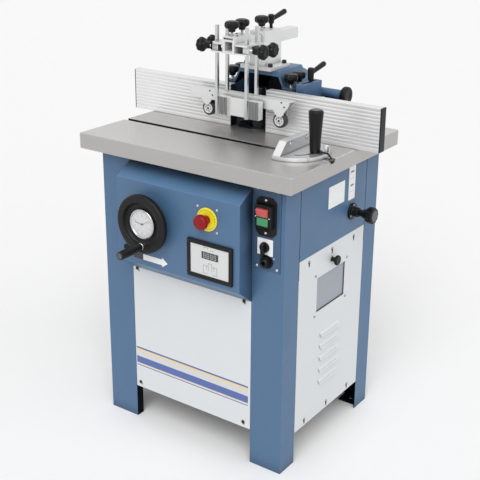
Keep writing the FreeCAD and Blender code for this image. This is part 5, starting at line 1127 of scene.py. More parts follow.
# %% [markdown]
# ## Right side: plates, seams, window and louvres
# Two bare plates sit on the upper panel. Where the side sheets meet the legs there is a narrow dark seam.
# Dark strips lie along the window's bottom and rear edges, with a thin one at its front edge. Under each
# louvre's lip a grey strip is a painted shadow. The louvres' openings could be cut into the sheet, but the
# CAD pieces stay as they are, so thin strips are laid on instead.

# %% Bare plates
PLATE, STRIP, PLATE_CORNER = rectangle(28, 693, 111, 753), rectangle(133, 688, 168, 792), 1.5
RULES, RULE_FOOT, RULE_STEP, RULE_TALL = 6, 701, 8, 0.5
RULE_LEFT, RULE_RIGHT = 33, 106
STRIP_RULE_ZS, STRIP_RULE_TALL = (711, 748, 785), 0.8
STRIP_BAR_ZS, STRIP_BAR_TALL = (726, 764), 5
side_film("data_plate", [rounded(PLATE, PLATE_CORNER, closed=True)], film_white)
rule_feet = [RULE_FOOT + row * RULE_STEP for row in range(RULES)]
plate_rules = [rectangle(RULE_LEFT, foot, RULE_RIGHT, foot + RULE_TALL) for foot in rule_feet]
side_film("data_plate_rules", plate_rules, ink_faint, FILM, RULE)
side_film("side_strip", [rounded(STRIP, PLATE_CORNER, closed=True)], film_white)
strip_marks = [rectangle(139, z, 162, z + STRIP_RULE_TALL) for z in STRIP_RULE_ZS]
strip_marks += [rectangle(142, z, 159, z + STRIP_BAR_TALL) for z in STRIP_BAR_ZS]
side_film("side_strip_marks", strip_marks, ink_grey, FILM, RULE)
print("plates on the right side at x", round(side_x, 1))

# %% Leg seams
SEAM_DROP, SEAM_OFF, SEAM_HALF = 50, 0.25, 1.0
seam_low, seam_high = box_mm("upper_panels")[0].z - SEAM_DROP, box_mm("upper_panels")[1].z
front_seam = box_mm("front_right_leg")[1].y + SEAM_OFF
rear_seam = box_mm("rear_right_leg")[0].y - SEAM_OFF
bm = bmesh.new()
for side in (-1, 1):
    for y in (front_seam, rear_seam):
        low = (side * side_x - INK, y - SEAM_HALF, seam_low)
        block(bm, low, (side * side_x + INK, y + SEAM_HALF, seam_high))
piece("leg_seams", bm, "stand", dark_gap)
print("seams at y", round(front_seam, 1), "and", round(rear_seam, 1))

# %% Window's dark edges
PANE_LAP, DARK_EDGE, DARK_EDGE_THICK = 4.5, 1.6, 2.4
pane_low, pane_high = box_mm("window_pane")
open_low_y, open_high_y = pane_low.y + PANE_LAP, pane_high.y - PANE_LAP
open_low_z, open_high_z = pane_low.z + PANE_LAP, pane_high.z - PANE_LAP
bm = bmesh.new()
for low_y, low_z, high_y, high_z in (
    (open_low_y, open_low_z, open_high_y, open_low_z + DARK_EDGE),
    (open_high_y - DARK_EDGE, open_low_z + DARK_EDGE, open_high_y, open_high_z),
    (open_low_y, open_low_z + DARK_EDGE, open_low_y + DARK_EDGE / 2, open_high_z),
):
    block(bm, (pane_high.x, low_y, low_z), (pane_high.x + DARK_EDGE_THICK, high_y, high_z))
piece("window_dark_edges", bm, "stand", tyre_rubber, soft=0.4)
print("window opening", round(open_high_y - open_low_y, 1), "by", round(open_high_z - open_low_z, 1))

# %% Louvre shadows
LOUVRES, LOUVRE_LOW, LOUVRE_STEP, LOUVRE_HALF = 5, 189.9, 36.0, 50
LOUVRE_SHADOW, SHADOW_FROM_LEFT, SHADOW_FROM_RIGHT, SHADOW_LIFT = 7.0, 7, 3, 0.1
window_y = (open_low_y + open_high_y) / 2
shadow_left = window_y - LOUVRE_HALF + SHADOW_FROM_LEFT
shadow_right = window_y + LOUVRE_HALF - SHADOW_FROM_RIGHT
louvre_feet = [LOUVRE_LOW + step * LOUVRE_STEP for step in range(LOUVRES)]
# Painted shadow: a grey strip under each louvre's lip.
louvre_shadow_strips = [rectangle(shadow_left, foot - LOUVRE_SHADOW, shadow_right, foot) for foot in louvre_feet]
side_film("louvre_shadows", louvre_shadow_strips, ink_grey, lift=SHADOW_LIFT)
print("louvres from z", louvre_feet[0], "to", louvre_feet[-1])

# %% [markdown]
# ## Switch, selector and gland
# The main switch is a moulded box on a flange with cut corners. Its raised frame guards a tall red stop
# button and a flush green start button. The red one is a wedge, thick at its top, so that it can be hit
# without looking. Below it a small lever selects the running direction, and a cable gland closes the plate.
# The frame is four blocks with softened edges, because a hole cut by a boolean leaves long triangles that
# shade badly.

# %% Switch flange and frame
plate_low, plate_high = box_mm("switch_plate")
red_low, red_high = box_mm("stop_button")
go_low, go_high = box_mm("start_button")
switch_front = box_mm("switch_body")[0].y
switch_x, switch_z = middle_mm("stop_button")[0], (go_low.z + red_high.z) / 2
FLANGE_HALF, FLANGE_HEAD, FLANGE_FOOT, FLANGE_CUT, FLANGE_THICK = 29.5, 46, 55, 11, 4
WALL, RIGHT_WALL, GUARD_GAP = 6.0, 8.0, 1.0
flange = [
    (FLANGE_HALF, FLANGE_CUT - FLANGE_FOOT), (FLANGE_HALF, FLANGE_HEAD - FLANGE_CUT),
    (FLANGE_HALF - FLANGE_CUT, FLANGE_HEAD), (FLANGE_CUT - FLANGE_HALF, FLANGE_HEAD),
    (-FLANGE_HALF, FLANGE_HEAD - FLANGE_CUT), (-FLANGE_HALF, FLANGE_CUT - FLANGE_FOOT),
    (FLANGE_CUT - FLANGE_HALF, -FLANGE_FOOT), (FLANGE_HALF - FLANGE_CUT, -FLANGE_FOOT)]
bm = bmesh.new()
push(bm, flange, (switch_x, plate_low.y, switch_z), ACROSS_FRONT, UP, FLANGE_THICK)
flange_face = plate_low.y - FLANGE_THICK
well_left, well_right = red_low.x - GUARD_GAP, red_high.x + GUARD_GAP
well_low, well_high = go_low.z - GUARD_GAP, red_high.z + GUARD_GAP
for left, low, right, high in (
    (well_left - WALL, well_low - WALL, well_left, well_high + WALL),
    (well_right, well_low - WALL, well_right + RIGHT_WALL, well_high + WALL),
    (well_left, well_low - WALL, well_right, well_low),
    (well_left, well_high, well_right, well_high + WALL),
):
    block(bm, (left, switch_front, low), (right, flange_face, high))
piece("switch_box", bm, "stand", black_plastic, ["switch_body"], soft=1.0)
print("switch frame front y", round(switch_front, 1))

# %% Switch buttons
BUTTON_TRAVEL = 4.5
PIN = [(0, -0.5), (2.1, -0.5), (2.1, 1.6), (1.2, 2.4), (0, 2.6)]
button_back = flange_face - BUTTON_TRAVEL
wedge = [
    (button_back, red_low.z), (red_low.y + 4.6, red_low.z), (red_low.y + 1.2, red_high.z - 8),
    (red_low.y, red_high.z - 4), (red_low.y + 2.4, red_high.z), (button_back, red_high.z)]
bm = bmesh.new()
push(bm, wedge, (red_low.x, 0, 0), ACROSS_SIDE, UP, red_high.x - red_low.x)
piece("stop_button_wedge", bm, "red_button", red_button_plastic, ["stop_button"], soft=1.3)
bm = bmesh.new()
block(bm, go_low, (go_high.x, button_back, go_high.z))
piece("start_button_cap", bm, "green_button", green_plastic, ["start_button"], soft=1.6)
bm = bmesh.new()
for x in (well_left - WALL / 2, well_right + WALL / 2):
    turn(bm, rounded(PIN, 0.5), (x, switch_front, switch_z), FRONT, 20)
piece("switch_pins", bm, "stand", bright_steel)
print("buttons", round(red_high.x - red_low.x, 1), "wide")

# %% Selector
LEVER_BACK, LEVER_THICK = 8.4, 8.6
selector_x, _, selector_z = middle_mm("selector_plate")
selector_centre = Vector((selector_x, box_mm("selector_plate")[1].y, selector_z))
knob = [(0, 0.4), (6, 0.4), (6, 2.3), (14, 2.3), (13.6, 5.5), (12.4, 9.2), (0, 9.2)]
lever = [(-4.2, 11), (-4.6, -6), (-3.4, -22), (0, -24.5), (3.4, -22), (4.6, -6), (4.2, 11)]
bm = bmesh.new()
turn(bm, rounded(knob, 0.7), selector_centre, FRONT, 48)
lever_place = selector_centre + FRONT * LEVER_BACK
push(bm, rounded(lever, 1.2, closed=True), lever_place, ACROSS_FRONT, UP, LEVER_THICK)
piece("selector_lever", bm, "selector", knob_plastic, ["selector_knob"], soft=0.9)
print("selector at", [round(v, 1) for v in selector_centre])

# %% Cable gland
GLAND_RIGHT, GLAND_RISE = 2.5, 25
gland_centre = Vector((switch_x + GLAND_RIGHT, plate_low.y, plate_low.z + GLAND_RISE))
washer = rectangle(5, 0, 18.5, 3)
hexagon = rectangle(5, 3, 15.5, 10)
crown = [(5, 10), (12.5, 10), (12, 15), (9.4, 18.4), (6.4, 18.8), (5, 17.6)]
bm = bmesh.new()
for outline, radius, segments in ((washer, 0.8, 48), (hexagon, 0.6, 6), (crown, 0.8, 40)):
    turn(bm, rounded(outline, radius, closed=True), gland_centre, FRONT, segments, closed=True)
turn(bm, [(0, 6), (5.2, 6), (5.2, 5), (0, 5)], gland_centre, FRONT, 24)
piece("cable_gland", bm, "stand", knob_plastic, smooth=30)
print("gland at", [round(v, 1) for v in gland_centre])

# %% [markdown]
# ## Lobed clamp knobs
# Star-shaped knobs clamp the hood, the mast and the hold-down's rods. Each is a moulding with eight lobes
# on a bright stud. It is turned like the other round pieces, but its radius dips between the lobes, most
# at the middle of the rim and not at all at the hub.

# %% Lobed knob
KNOB_RIM, KNOB_LOBES, KNOB_DIP = 20, 8, 1.8
DIP_START, DIP_BLEND, DIP_CURVE = 0.6, 0.3, 1.5
THREAD_PITCH, THREAD_SINK, THREAD_CORE, THREAD_TOP = 0.9, 5.6, 3.6, 4.0


def lobes(rim, count, depth):
    """A ripple that dips between lobes on the outer part of a knob."""
    def ripple(radius, angle):
        share = max(0.0, min(1.0, (radius - rim * DIP_START) / (rim * DIP_BLEND)))
        return radius - depth * share * (0.5 - 0.5 * math.cos(count * angle)) ** DIP_CURVE
    return ripple


def clamp_knob(head, stud, seat, direction, lift, hub=0.0):
    """A knob on a stud of the length lift. hub is how far the moulding reaches down the stud."""
    profile = [
        (0, -hub), (8.4, -hub), (9, 1 - hub), (9.6, 5.5), (13, 8.4), (17.6, 10.6), (19.6, 14),
        (KNOB_RIM, 18.5), (19.4, 23), (17, 26.4), (12.5, 28.1), (8.4, 28.4), (7.4, 27.6), (0, 27.6)]
    outline = [(r, a + lift) for r, a in profile]
    turn(head, rounded(outline, 2.0), seat, direction, 96, lobes(KNOB_RIM, KNOB_LOBES, KNOB_DIP))
    thread = [(0, -THREAD_SINK)]
    for step in range(int((lift - hub + THREAD_SINK) / THREAD_PITCH)):
        valley = step * THREAD_PITCH - THREAD_SINK
        thread += [(THREAD_CORE, valley), (THREAD_TOP, valley + THREAD_PITCH / 2)]
    thread += [(THREAD_CORE, lift - hub), (0, lift - hub)]
    turn(stud, thread, seat, direction, 16)


print("a knob is", 2 * KNOB_RIM, "wide, with", KNOB_LOBES, "lobes")

# %% Knobs of the hood, the mast and the access panel
SHORT_STUD = 11
MAST_KNOB_INSET, MAST_LAP = 21, 8
HOOD_EAR, HOOD_KNOB_X, HOOD_KNOB_YS = 966.0, 97.38, (150.0, 192.0)
PULL_Y, PULL_Z = 58, 545
mast_low, mast_high = box_mm("mast_block")
mast_front = mast_low.y + MAST_LAP
heads, studs = bmesh.new(), bmesh.new()
for side in (-1, 1):
    for y in HOOD_KNOB_YS:
        clamp_knob(heads, studs, (side * HOOD_KNOB_X, y, HOOD_EAR), UP, SHORT_STUD)
clamp_knob(heads, studs, (0, mast_front + MAST_KNOB_INSET, mast_high.z), UP, SHORT_STUD)
pull = [
    (0, 0), (7.4, 0), (6.2, 2), (6.2, 6.5), (8, 9.5), (12.6, 13), (14.2, 16), (14, 19.4), (12, 21.2),
    (9, 21.4), (8.4, 20.8), (0, 20.8)]
turn(heads, rounded(pull, 1.6), (side_x, PULL_Y, PULL_Z), RIGHT, 48)
piece("clamp_knob_heads", heads, "stand", knob_plastic, ["fixed_knobs"])
piece("clamp_knob_studs", studs, "stand", bright_steel)
print("knob on the mast at z", round(mast_high.z, 1))

# %% Knobs of the hold-down
ROD_KNOB_YS, SIDE_KNOB_Z, SIDE_STUD, SIDE_HUB = (11.0, 57.0), 1083, 22, 10
OPENING_LEFT, OPENING_RIGHT, OPENING_LOW, OPENING_HIGH, OPENING_HALF = 1.5, 6.5, 1076, 1100, 0.4
cross_low, cross_high = box_mm("cross_frame")
heads, studs = bmesh.new(), bmesh.new()
for y in ROD_KNOB_YS:
    clamp_knob(heads, studs, (0, y, cross_high.z), UP, SHORT_STUD)
    for side in (-1, 1):
        seat = (side * cross_high.x, y, SIDE_KNOB_Z)
        clamp_knob(heads, studs, seat, RIGHT * side, SIDE_STUD, SIDE_HUB)
piece("rod_knob_heads", heads, "arm", knob_plastic, ["frame_knobs"])
piece("rod_knob_studs", studs, "arm", bright_steel)
# Painted shade: a dark film at the frame's left end stands for the shade inside an opening.
opening_low = (cross_low.x + OPENING_LEFT, cross_low.y - OPENING_HALF, OPENING_LOW)
bm = bmesh.new()
block(bm, opening_low, (cross_low.x + OPENING_RIGHT, cross_low.y + OPENING_HALF, OPENING_HIGH))
piece("frame_end_opening_shade", bm, "arm", dark_gap, soft=0.2)
print("knobs on the frame at z", round(cross_high.z, 1))

# %% [markdown]
# ## Clamp levers
# The right fence carrier and the mast are clamped by spring levers: a tall hub with a handle that leaves
# its upper end almost level and has a blunt, rounded tip. Both are the same moulding, so one function
# makes them.

# %% Clamp levers
HUB_INSET, HUB_RISE, HUB_TALL = 9, 6, 38
HANDLE_RISE, HANDLE_TILT = 23, math.radians(13)


def clamp_lever(name, node, neck):
    """A lever on a hub whose lowest part, up to the neck's height, is a thin stem."""
    low = box_mm(node)[0]
    hub = Vector((middle_mm(node)[0], low.y + HUB_INSET, low.z + HUB_RISE))
    outline = [
        (0, 0), (4.6, 0), (4.6, neck), (7.4, neck + 1), (8.0, neck + 5), (8.8, 24), (9, 31), (8.8, 35),
        (7.4, 37.6), (4.2, HUB_TALL), (0, HUB_TALL)]
    handle = [
        (0, 0), (6.0, 1.5), (6.2, 10), (6.6, 26), (7.2, 48), (7.7, 66), (7.2, 70), (4.8, 72.8), (0, 73.2)]
    lean = Vector((0, math.cos(HANDLE_TILT), math.sin(HANDLE_TILT)))
    bm = bmesh.new()
    turn(bm, rounded(outline, 1.2), hub, UP, 40)
    turn(bm, rounded(handle, 2), hub + UP * HANDLE_RISE, lean, 32)
    piece(name, bm, node, knob_plastic, [node])
    screw = [(0, HUB_TALL), (3.2, HUB_TALL), (3.2, 38.7), (1.8, 38.9), (1.8, 38.3), (0, 38.3)]
    bm = bmesh.new()
    turn(bm, screw, hub, UP, 6)
    piece(name + "_screw", bm, node, black_steel)
    print(name, "at", [round(v, 1) for v in hub])


clamp_lever("fence_clamp_lever", "fence_lever", neck=2)
clamp_lever("mast_clamp_lever", "mast_lever", neck=12)

# %% [markdown]
# ## Spindle lock and fence adjuster
# The lock's knob is pulled out to free the spindle. Its rim is scalloped, which here is a ripple of the
# turned radius. Three screws hold the flange. The fence adjuster behind the right fence has a finer
# ripple, a knurl. A boss on the carrier takes its screw, and the clamp lever's slot is a dark inlay, painted
# shade of the slot's depth.

# %% Spindle lock
LOCK_SCREWS, LOCK_SCREW_RING, LOCK_SCREW_SEAT = 3, 18.2, 5.8
CAP_SCREW = [(0, 1.2), (1.5, 1.2), (1.5, 2.2), (2.6, 2.2), (3.4, 1.4), (3.4, 0), (0, 0)]
lock_seat = Vector((box_mm("lock_flange")[0].x, *middle_mm("lock_flange")[1:]))
sleeve = [
    (7.05, 0), (23, 0), (23, 4.5), (22, 5.6), (14.5, 6.4), (13.2, 8), (13.2, 22.6), (12, 24), (7.05, 24)]
turned("lock_sleeve", sleeve, 0.8, lock_seat, RIGHT, 64,
       "stand", knob_plastic, ["lock_flange"], closed=True)
bm = bmesh.new()
for k in range(LOCK_SCREWS):
    outward = around(2 * math.pi * k / LOCK_SCREWS + math.pi / 2, ACROSS_SIDE, UP)[0]
    screw_seat = lock_seat + RIGHT * LOCK_SCREW_SEAT + outward * LOCK_SCREW_RING
    turn(bm, rounded(CAP_SCREW, 0.3), screw_seat, RIGHT, 20)
piece("lock_screws", bm, "stand", ring_steel)
lock_outline = [
    (0, -40), (7, -40), (7, 26), (9.6, 27), (9.6, 36), (13, 37.5), (13.6, 45), (15, 47.5), (20.6, 49.5),
    (22.5, 53), (22.5, 66.5), (21.6, 69.6), (19.6, 70.4), (0, 70.4)]
turned("lock_pull_knob", lock_outline, 1.4, lock_seat, RIGHT, 120,
       "lock_pin", knob_plastic, ["lock_knob"], ripple=lobes(22.5, 10, 1.5))
lock_cover = [(0, 70.9), (14.6, 70.9), (15.4, 70.2), (0, 70.2)]
turned("lock_knob_cover", lock_cover, 0.3, lock_seat, RIGHT, 48, "lock_pin", plug_plastic)
print("lock seat", [round(v, 1) for v in lock_seat])

# %% Fence adjuster
adjust_seat = Vector((box_mm("adjust_knob")[0].x, *middle_mm("adjust_knob")[1:]))
adjust_outline = [
    (0, 0), (6, 0), (6, 50.3), (17.5, 50.3), (22.5, 54), (24, 56.5), (24, 66.8), (23, 69.4), (21, 70.3),
    (9, 70.3), (8, 69.3), (0, 69.3)]
turned("fence_adjuster_knob", adjust_outline, 1.0, adjust_seat, RIGHT, 144,
       "adjuster", knob_plastic, ["adjust_knob"], ripple=lobes(24, 24, 0.9))
print("adjuster seat", [round(v, 1) for v in adjust_seat])

# %% Carrier's boss and clamp slot
BOSS_LEFT, BOSS_END, BOSS_RADIUS = -17, -0.7, 13
WEB_INSET, WEB_SINK, WEB_HALF, WEB_END = 1, 0.5, 11, 6.2
SLOT_HALF, SLOT_FRONT, SLOT_FROM_BACK, SLOT_CORNER = 3.6, 132, 7, 3
carrier_high = box_mm("right_carrier")[1]
boss = [(0, BOSS_LEFT), (BOSS_RADIUS, BOSS_LEFT), (BOSS_RADIUS, BOSS_END), (0, BOSS_END)]
web_low = (adjust_seat.x + BOSS_LEFT + WEB_INSET, carrier_high.y - WEB_SINK, adjust_seat.z - WEB_HALF)
bm = bmesh.new()
turn(bm, rounded(boss, 0.8), adjust_seat, RIGHT, 48)
block(bm, web_low, (adjust_seat.x - WEB_END, adjust_seat.y, adjust_seat.z + WEB_HALF))
piece("adjuster_boss", bm, "right_slide", blue_paint)
lever_x = middle_mm("fence_lever")[0]
slot_back = carrier_high.y - SLOT_FROM_BACK
clamp_slot = rectangle(lever_x - SLOT_HALF, SLOT_FRONT, lever_x + SLOT_HALF, slot_back)
slot_place = (0, 0, carrier_high.z - SINK)
# Painted shade: the clamp lever's slot is a dark inlay.
bm = bmesh.new()
push(bm, rounded(clamp_slot, SLOT_CORNER, closed=True), slot_place, RIGHT, ACROSS_SIDE, INK)
piece("carrier_clamp_slot", bm, "right_slide", dark_gap)
print("clamp slot at x", round(lever_x, 1))

# %% [markdown]
# ## Fences
# The fences are drawn aluminium bars with shallow ribs along their faces, which let wood slide, and dark
# plastic caps on their ends. A bump could stand for the ribs, but only real ones shade each other in low
# light. They are rounded in the outline, which is pushed along the bar's length.

# %% Fences
RIBS, RIB_STEP, GROOVE, CAP = 11, 9.6, 0.8, 3.0
GROOVE_LINE = ((0, -1.2), (0.3, -0.4), (0.9, 0.5), (1, 1.4), (0.9, 2.3), (0.3, 3.2), (0, 4.0))
TEE_DEPTH, TEE_ABOVE, TEE_BELOW, TOP_CHAMFER = 8, 4.2, 2.6, 1


def fence_bar(name, node):
    """A ribbed bar with a slot along its back, and the caps on its ends."""
    low, high = box_mm(node)
    face, back, middle = low.y, high.y, middle_mm(node)[2]
    outline = [(face, low.z)]
    for index in range(RIBS):
        foot = low.z + (index + 1) * RIB_STEP
        outline += [(face + GROOVE * share, foot + rise) for share, rise in GROOVE_LINE]
    outline += [
        (face, high.z - TOP_CHAMFER), (face + TOP_CHAMFER, high.z), (back - TOP_CHAMFER, high.z),
        (back, high.z - TOP_CHAMFER), (back, middle + TEE_ABOVE), (back - TEE_DEPTH, middle + TEE_ABOVE),
        (back - TEE_DEPTH, middle - TEE_BELOW), (back, middle - TEE_BELOW), (back, low.z)]
    bm = bmesh.new()
    push(bm, outline, (low.x + CAP, 0, 0), ACROSS_SIDE, UP, high.x - low.x - 2 * CAP)
    piece(name, bm, node, fence_aluminium, [node], smooth=30)
    bm = bmesh.new()
    for start in (low.x, high.x - CAP):
        block(bm, (start, face, low.z), (start + CAP, back, high.z))
    piece(name + "_end_caps", bm, node, black_plastic, soft=0.8)
    print(name, round(high.x - low.x), "long")


fence_bar("left_fence_bar", "left_fence")
fence_bar("right_fence_bar", "right_fence")

# %% [markdown]
# ## Hold-down shoe
# The shoe presses the work on the table. It has two ribbed end blocks, a smooth plate between them and two
# square rods. The CAD shape is right, so only its faces are sorted: the blocks' faces are left as drawn,
# dull dark metal, the rods are ground steel, and the plate and the blocks' right ends keep the pale coat,
# on the ends a painted highlight where they catch the light.

# %% Shoe faces
SHOE_FRONT, SHOE_TALL, BLOCK_LEFT, BLOCK_RIGHT = 14.9, 49, -17, 50
TOP_SKIN, ROD_START = 0.5, 2
shoe_low, shoe_high = box_mm("pressure_shoe")
shoe_top = shoe_low.z + SHOE_TALL


def on_end_block(polygon):
    """A test for the shoe's faces: the two blocks, without their tops and right ends."""
    spot = polygon.center * MM
    beside_plate = not BLOCK_LEFT < spot.x < BLOCK_RIGHT
    in_block = beside_plate and spot.y > SHOE_FRONT and spot.z < shoe_top - TOP_SKIN
    return in_block and polygon.normal.x < SQUARE_ON


def on_rod(polygon):
    """A test for the shoe's faces: what stands above its top."""
    return polygon.center.z * MM > shoe_top + ROD_START


# The blocks' right ends keep the pale coat as a painted highlight.
second_finish("pressure_shoe", ribbed_aluminium_and_shade, on_end_block)
second_finish("pressure_shoe", bright_steel, on_rod)
print("shoe", round(shoe_high.x - shoe_low.x), "wide")

# %% [markdown]
# ## Roller beam and rollers
# The beam is a folded channel with two cheeks. Each roller hangs below a tongue of the cheeks, and has a
# dark rubber tyre on a pale hub with spokes. The cheek's edge was cut to a curve, so it is an outline
# pushed by the sheet's thickness. Tyre and hub are separate pieces, because they are separate materials.

# %% Roller channel
beam_low, beam_high = box_mm("roller_beam")
rollers = ("left_roller", "right_roller")
axle_x = {node: middle_mm(node)[0] for node in rollers}
axle_z = middle_mm("left_roller")[2]
BEAM_TOP, BEAM_FOOT, SHEET, CHEEK_CORNER = 955.0, 927.5, 2.0, 3
FOLD_LAP, WEB_DROP = 0.5, 0.4
REAR_CORNER_LEFT, REAR_CORNER_Z = 8, 936
FRONT_TONGUE = [
    (-15, 27.5), (-10, 19), (-3, 11.2), (6, 11), (15, 17.5), (19.4, 28), (27, 36), (32.6, 46), (34.5, 55)]
LEFT_TONGUE = [(-tx, tz) for tx, tz in reversed(FRONT_TONGUE[:6])]
REAR_TONGUE = [(-15, 30), (-9, 4), (-6, -4), (0, -6), (6, -4), (9, 4), (15, 30)]


def hung(node, tongue):
    """A tongue's outline, given from the axle, moved to a roller's axle."""
    return [(axle_x[node] + tx, axle_z + tz) for tx, tz in tongue]


left_end = [(beam_low.x, BEAM_TOP), (beam_low.x, BEAM_FOOT)]
front_cheek = left_end + hung("left_roller", LEFT_TONGUE) + hung("right_roller", FRONT_TONGUE)
front_cheek += [(beam_high.x, BEAM_TOP)]
rear_cheek = left_end + hung("left_roller", REAR_TONGUE) + hung("right_roller", REAR_TONGUE)
rear_cheek += [(beam_high.x - REAR_CORNER_LEFT, REAR_CORNER_Z), (beam_high.x, BEAM_TOP)]
bm = bmesh.new()
for cheek, y in ((front_cheek, beam_low.y + SHEET), (rear_cheek, beam_high.y)):
    push(bm, rounded(cheek, CHEEK_CORNER, closed=True), (0, y, 0), ACROSS_FRONT, UP, SHEET)
web_low = (beam_low.x + FOLD_LAP, beam_low.y + SHEET - FOLD_LAP, BEAM_TOP - SHEET)
block(bm, web_low, (beam_high.x - FOLD_LAP, beam_high.y - SHEET + FOLD_LAP, BEAM_TOP - WEB_DROP))
piece("roller_channel", bm, "beam", pale_coat, ["roller_beam"], soft=0.4)
print("axles at x", [round(x, 1) for x in axle_x.values()])

# %% Beam rods, axles and rivets
ROD_X, ROD_Y, ROD_HALF = 48, 57, 4
AXLE, AXLE_SINK = [(0, 0), (3, 0), (3, 22), (0, 22)], 1
RIVET = [(0, 0), (2.3, 0), (2.3, 0.8), (1.6, 1.2), (0, 1.2)]
RIVETS_FROM_AXLE = ((9.5, 51.3), (18.4, 40.2))
bm = bmesh.new()
for side in (-1, 1):
    rod_low = (side * ROD_X - ROD_HALF, ROD_Y - ROD_HALF, BEAM_TOP - SHEET)
    block(bm, rod_low, (side * ROD_X + ROD_HALF, ROD_Y + ROD_HALF, beam_high.z))
piece("beam_rods", bm, "beam", bright_steel, soft=0.4)
bm = bmesh.new()
for x in axle_x.values():
    turn(bm, rounded(AXLE, 0.4), (x, beam_high.y - AXLE_SINK, axle_z), FRONT, 24)
for x in axle_x.values():
    for dx, dz in RIVETS_FROM_AXLE:
        turn(bm, rounded(RIVET, 0.3), (x + dx, beam_low.y, axle_z + dz), FRONT, 20)
piece("beam_rivets", bm, "beam", black_steel)
print("rods at x", -ROD_X, "and", ROD_X)

# %% Rollers
TYRE_HALF = 9.2
SPOKES, SPOKE_START, SPOKE_WIDE, SPOKE_INSET = 6, 0.3, 2.8, 1.6


def press_roller(name, node):
    """A tyre and its spoked hub."""
    centre = Vector((axle_x[node], middle_mm(node)[1], axle_z))
    half = TYRE_HALF
    tyre = [(14, 1 - half), (17, -half), (19, 1.2 - half), (20, 3.6 - half)]
    tyre += [(r, -a) for r, a in reversed(tyre)]
    turned(name + "_tyre", tyre, 1.2, centre, FRONT, 64,
           node, tyre_rubber, [node], closed=True)
    bm = bmesh.new()
    for inner, outer, segments in ((11.4, 14, 48), (3.06, 5.6, 32)):
        sleeve = rounded(rectangle(inner, -half, outer, half), 0.5, closed=True)
        turn(bm, sleeve, centre, FRONT, segments, closed=True)
    turn(bm, rectangle(5, -1, 12, 1), centre, FRONT, 48, closed=True)
    for k in range(SPOKES):
        outward, sideways = around(2 * math.pi * k / SPOKES + SPOKE_START, UP, RIGHT)
        origin = centre + FRONT * (SPOKE_INSET - half) - sideways * (SPOKE_WIDE / 2)
        spoke = rectangle(0, 4.8, SPOKE_WIDE, 12.4)
        push(bm, spoke, origin, sideways, outward, 2 * (half - SPOKE_INSET))
    piece(name + "_hub", bm, node, hub_plastic)
    print(name, "at x", round(centre.x, 1))


press_roller("left_press_roller", "left_roller")
press_roller("right_press_roller", "right_roller")

# %% [markdown]
# ## Mitre gauge
# The gauge's clamp handle is a tall black taper with a flat, chamfered top. Its head carries a degree scale
# round its rim, an index block, a small stop rod with a wing, and two screws that hold the fence from
# behind. The scale could be cut into the casting, but thin dark blocks on it look the same and leave the
# CAD mesh alone. The rod is a run of short bars that overlap at the bends, which is simpler than sweeping
# a bent one.

# %% Gauge handle
handle_low, handle_high = box_mm("gauge_handle")
grip_seat = Vector((*middle_mm("gauge_handle")[:2], handle_low.z))
handle_tall = handle_high.z - handle_low.z
gauge_grip = [
    (4.05, 0), (11.8, 0), (12.8, 1), (13.6, 8), (15.0, 40), (17.0, 75), (18.7, 98), (19, 103),
    (18.4, 105.4), (14.4, handle_tall - 0.6), (0, handle_tall - 0.6)]
turned("gauge_grip", gauge_grip, 0.9, grip_seat, UP, 56,
       "gauge_handle", knob_plastic, ["gauge_handle"])
cover = [(0, handle_tall), (12.4, handle_tall), (13.4, handle_tall - 0.8), (0, handle_tall - 0.8)]
turned("gauge_grip_cover", cover, 0.4, grip_seat, UP, 48, "gauge_handle", plug_plastic)
print("gauge handle", round(handle_tall, 1), "tall")

# %% Gauge scale, index and screws
PIVOT_X = 230
SCALE_RADIUS, SCALE_STEP, SCALE_SIDE, SCALE_LONG_EVERY = 85, 5, 12, 3
SCALE_LONG, SCALE_SHORT, SCALE_WIDE, SCALE_LIFT = 7, 4, 0.5, 0.08
INDEX_ANGLE, INDEX_DROP, INDEX_TALL = math.radians(-36), 8, 12
GUIDE_SCREW = [(0, 1.2), (2.4, 1.2), (2.4, 3), (4.2, 3), (5.5, 2.0), (5.5, 0), (0, 0)]
GUIDE_SCREW_YS, GUIDE_SCREW_DROP = (-68, 9), 9.5
pivot = Vector((PIVOT_X, middle_mm("gauge_head")[1], box_mm("gauge_head")[1].z))
bm = bmesh.new()
for k in range(-SCALE_SIDE, SCALE_SIDE + 1):
    outward, sideways = around(math.radians(SCALE_STEP * k), RIGHT, ACROSS_SIDE)
    length = SCALE_LONG if k % SCALE_LONG_EVERY == 0 else SCALE_SHORT
    origin = pivot + outward * (SCALE_RADIUS - length) - sideways * (SCALE_WIDE / 2)
    push(bm, rectangle(0, 0, length, SCALE_WIDE), origin, outward, sideways, SCALE_LIFT)
piece("gauge_scale", bm, "gauge_head", ink_dark)
bm = bmesh.new()
outward, sideways = around(INDEX_ANGLE, RIGHT, ACROSS_SIDE)
push(bm, rectangle(84, -2, 89, 2), pivot - UP * INDEX_DROP, outward, sideways, INDEX_TALL)
piece("gauge_index", bm, "gauge_head", bright_steel, soft=0.5)
guide_high = box_mm("gauge_fence")[1]
bm = bmesh.new()
for y in GUIDE_SCREW_YS:
    turn(bm, rounded(GUIDE_SCREW, 0.4), (guide_high.x, y, guide_high.z - GUIDE_SCREW_DROP), RIGHT, 24)
piece("gauge_fence_screws", bm, "gauge_head", chrome)
print("gauge pivot", [round(v, 1) for v in pivot])

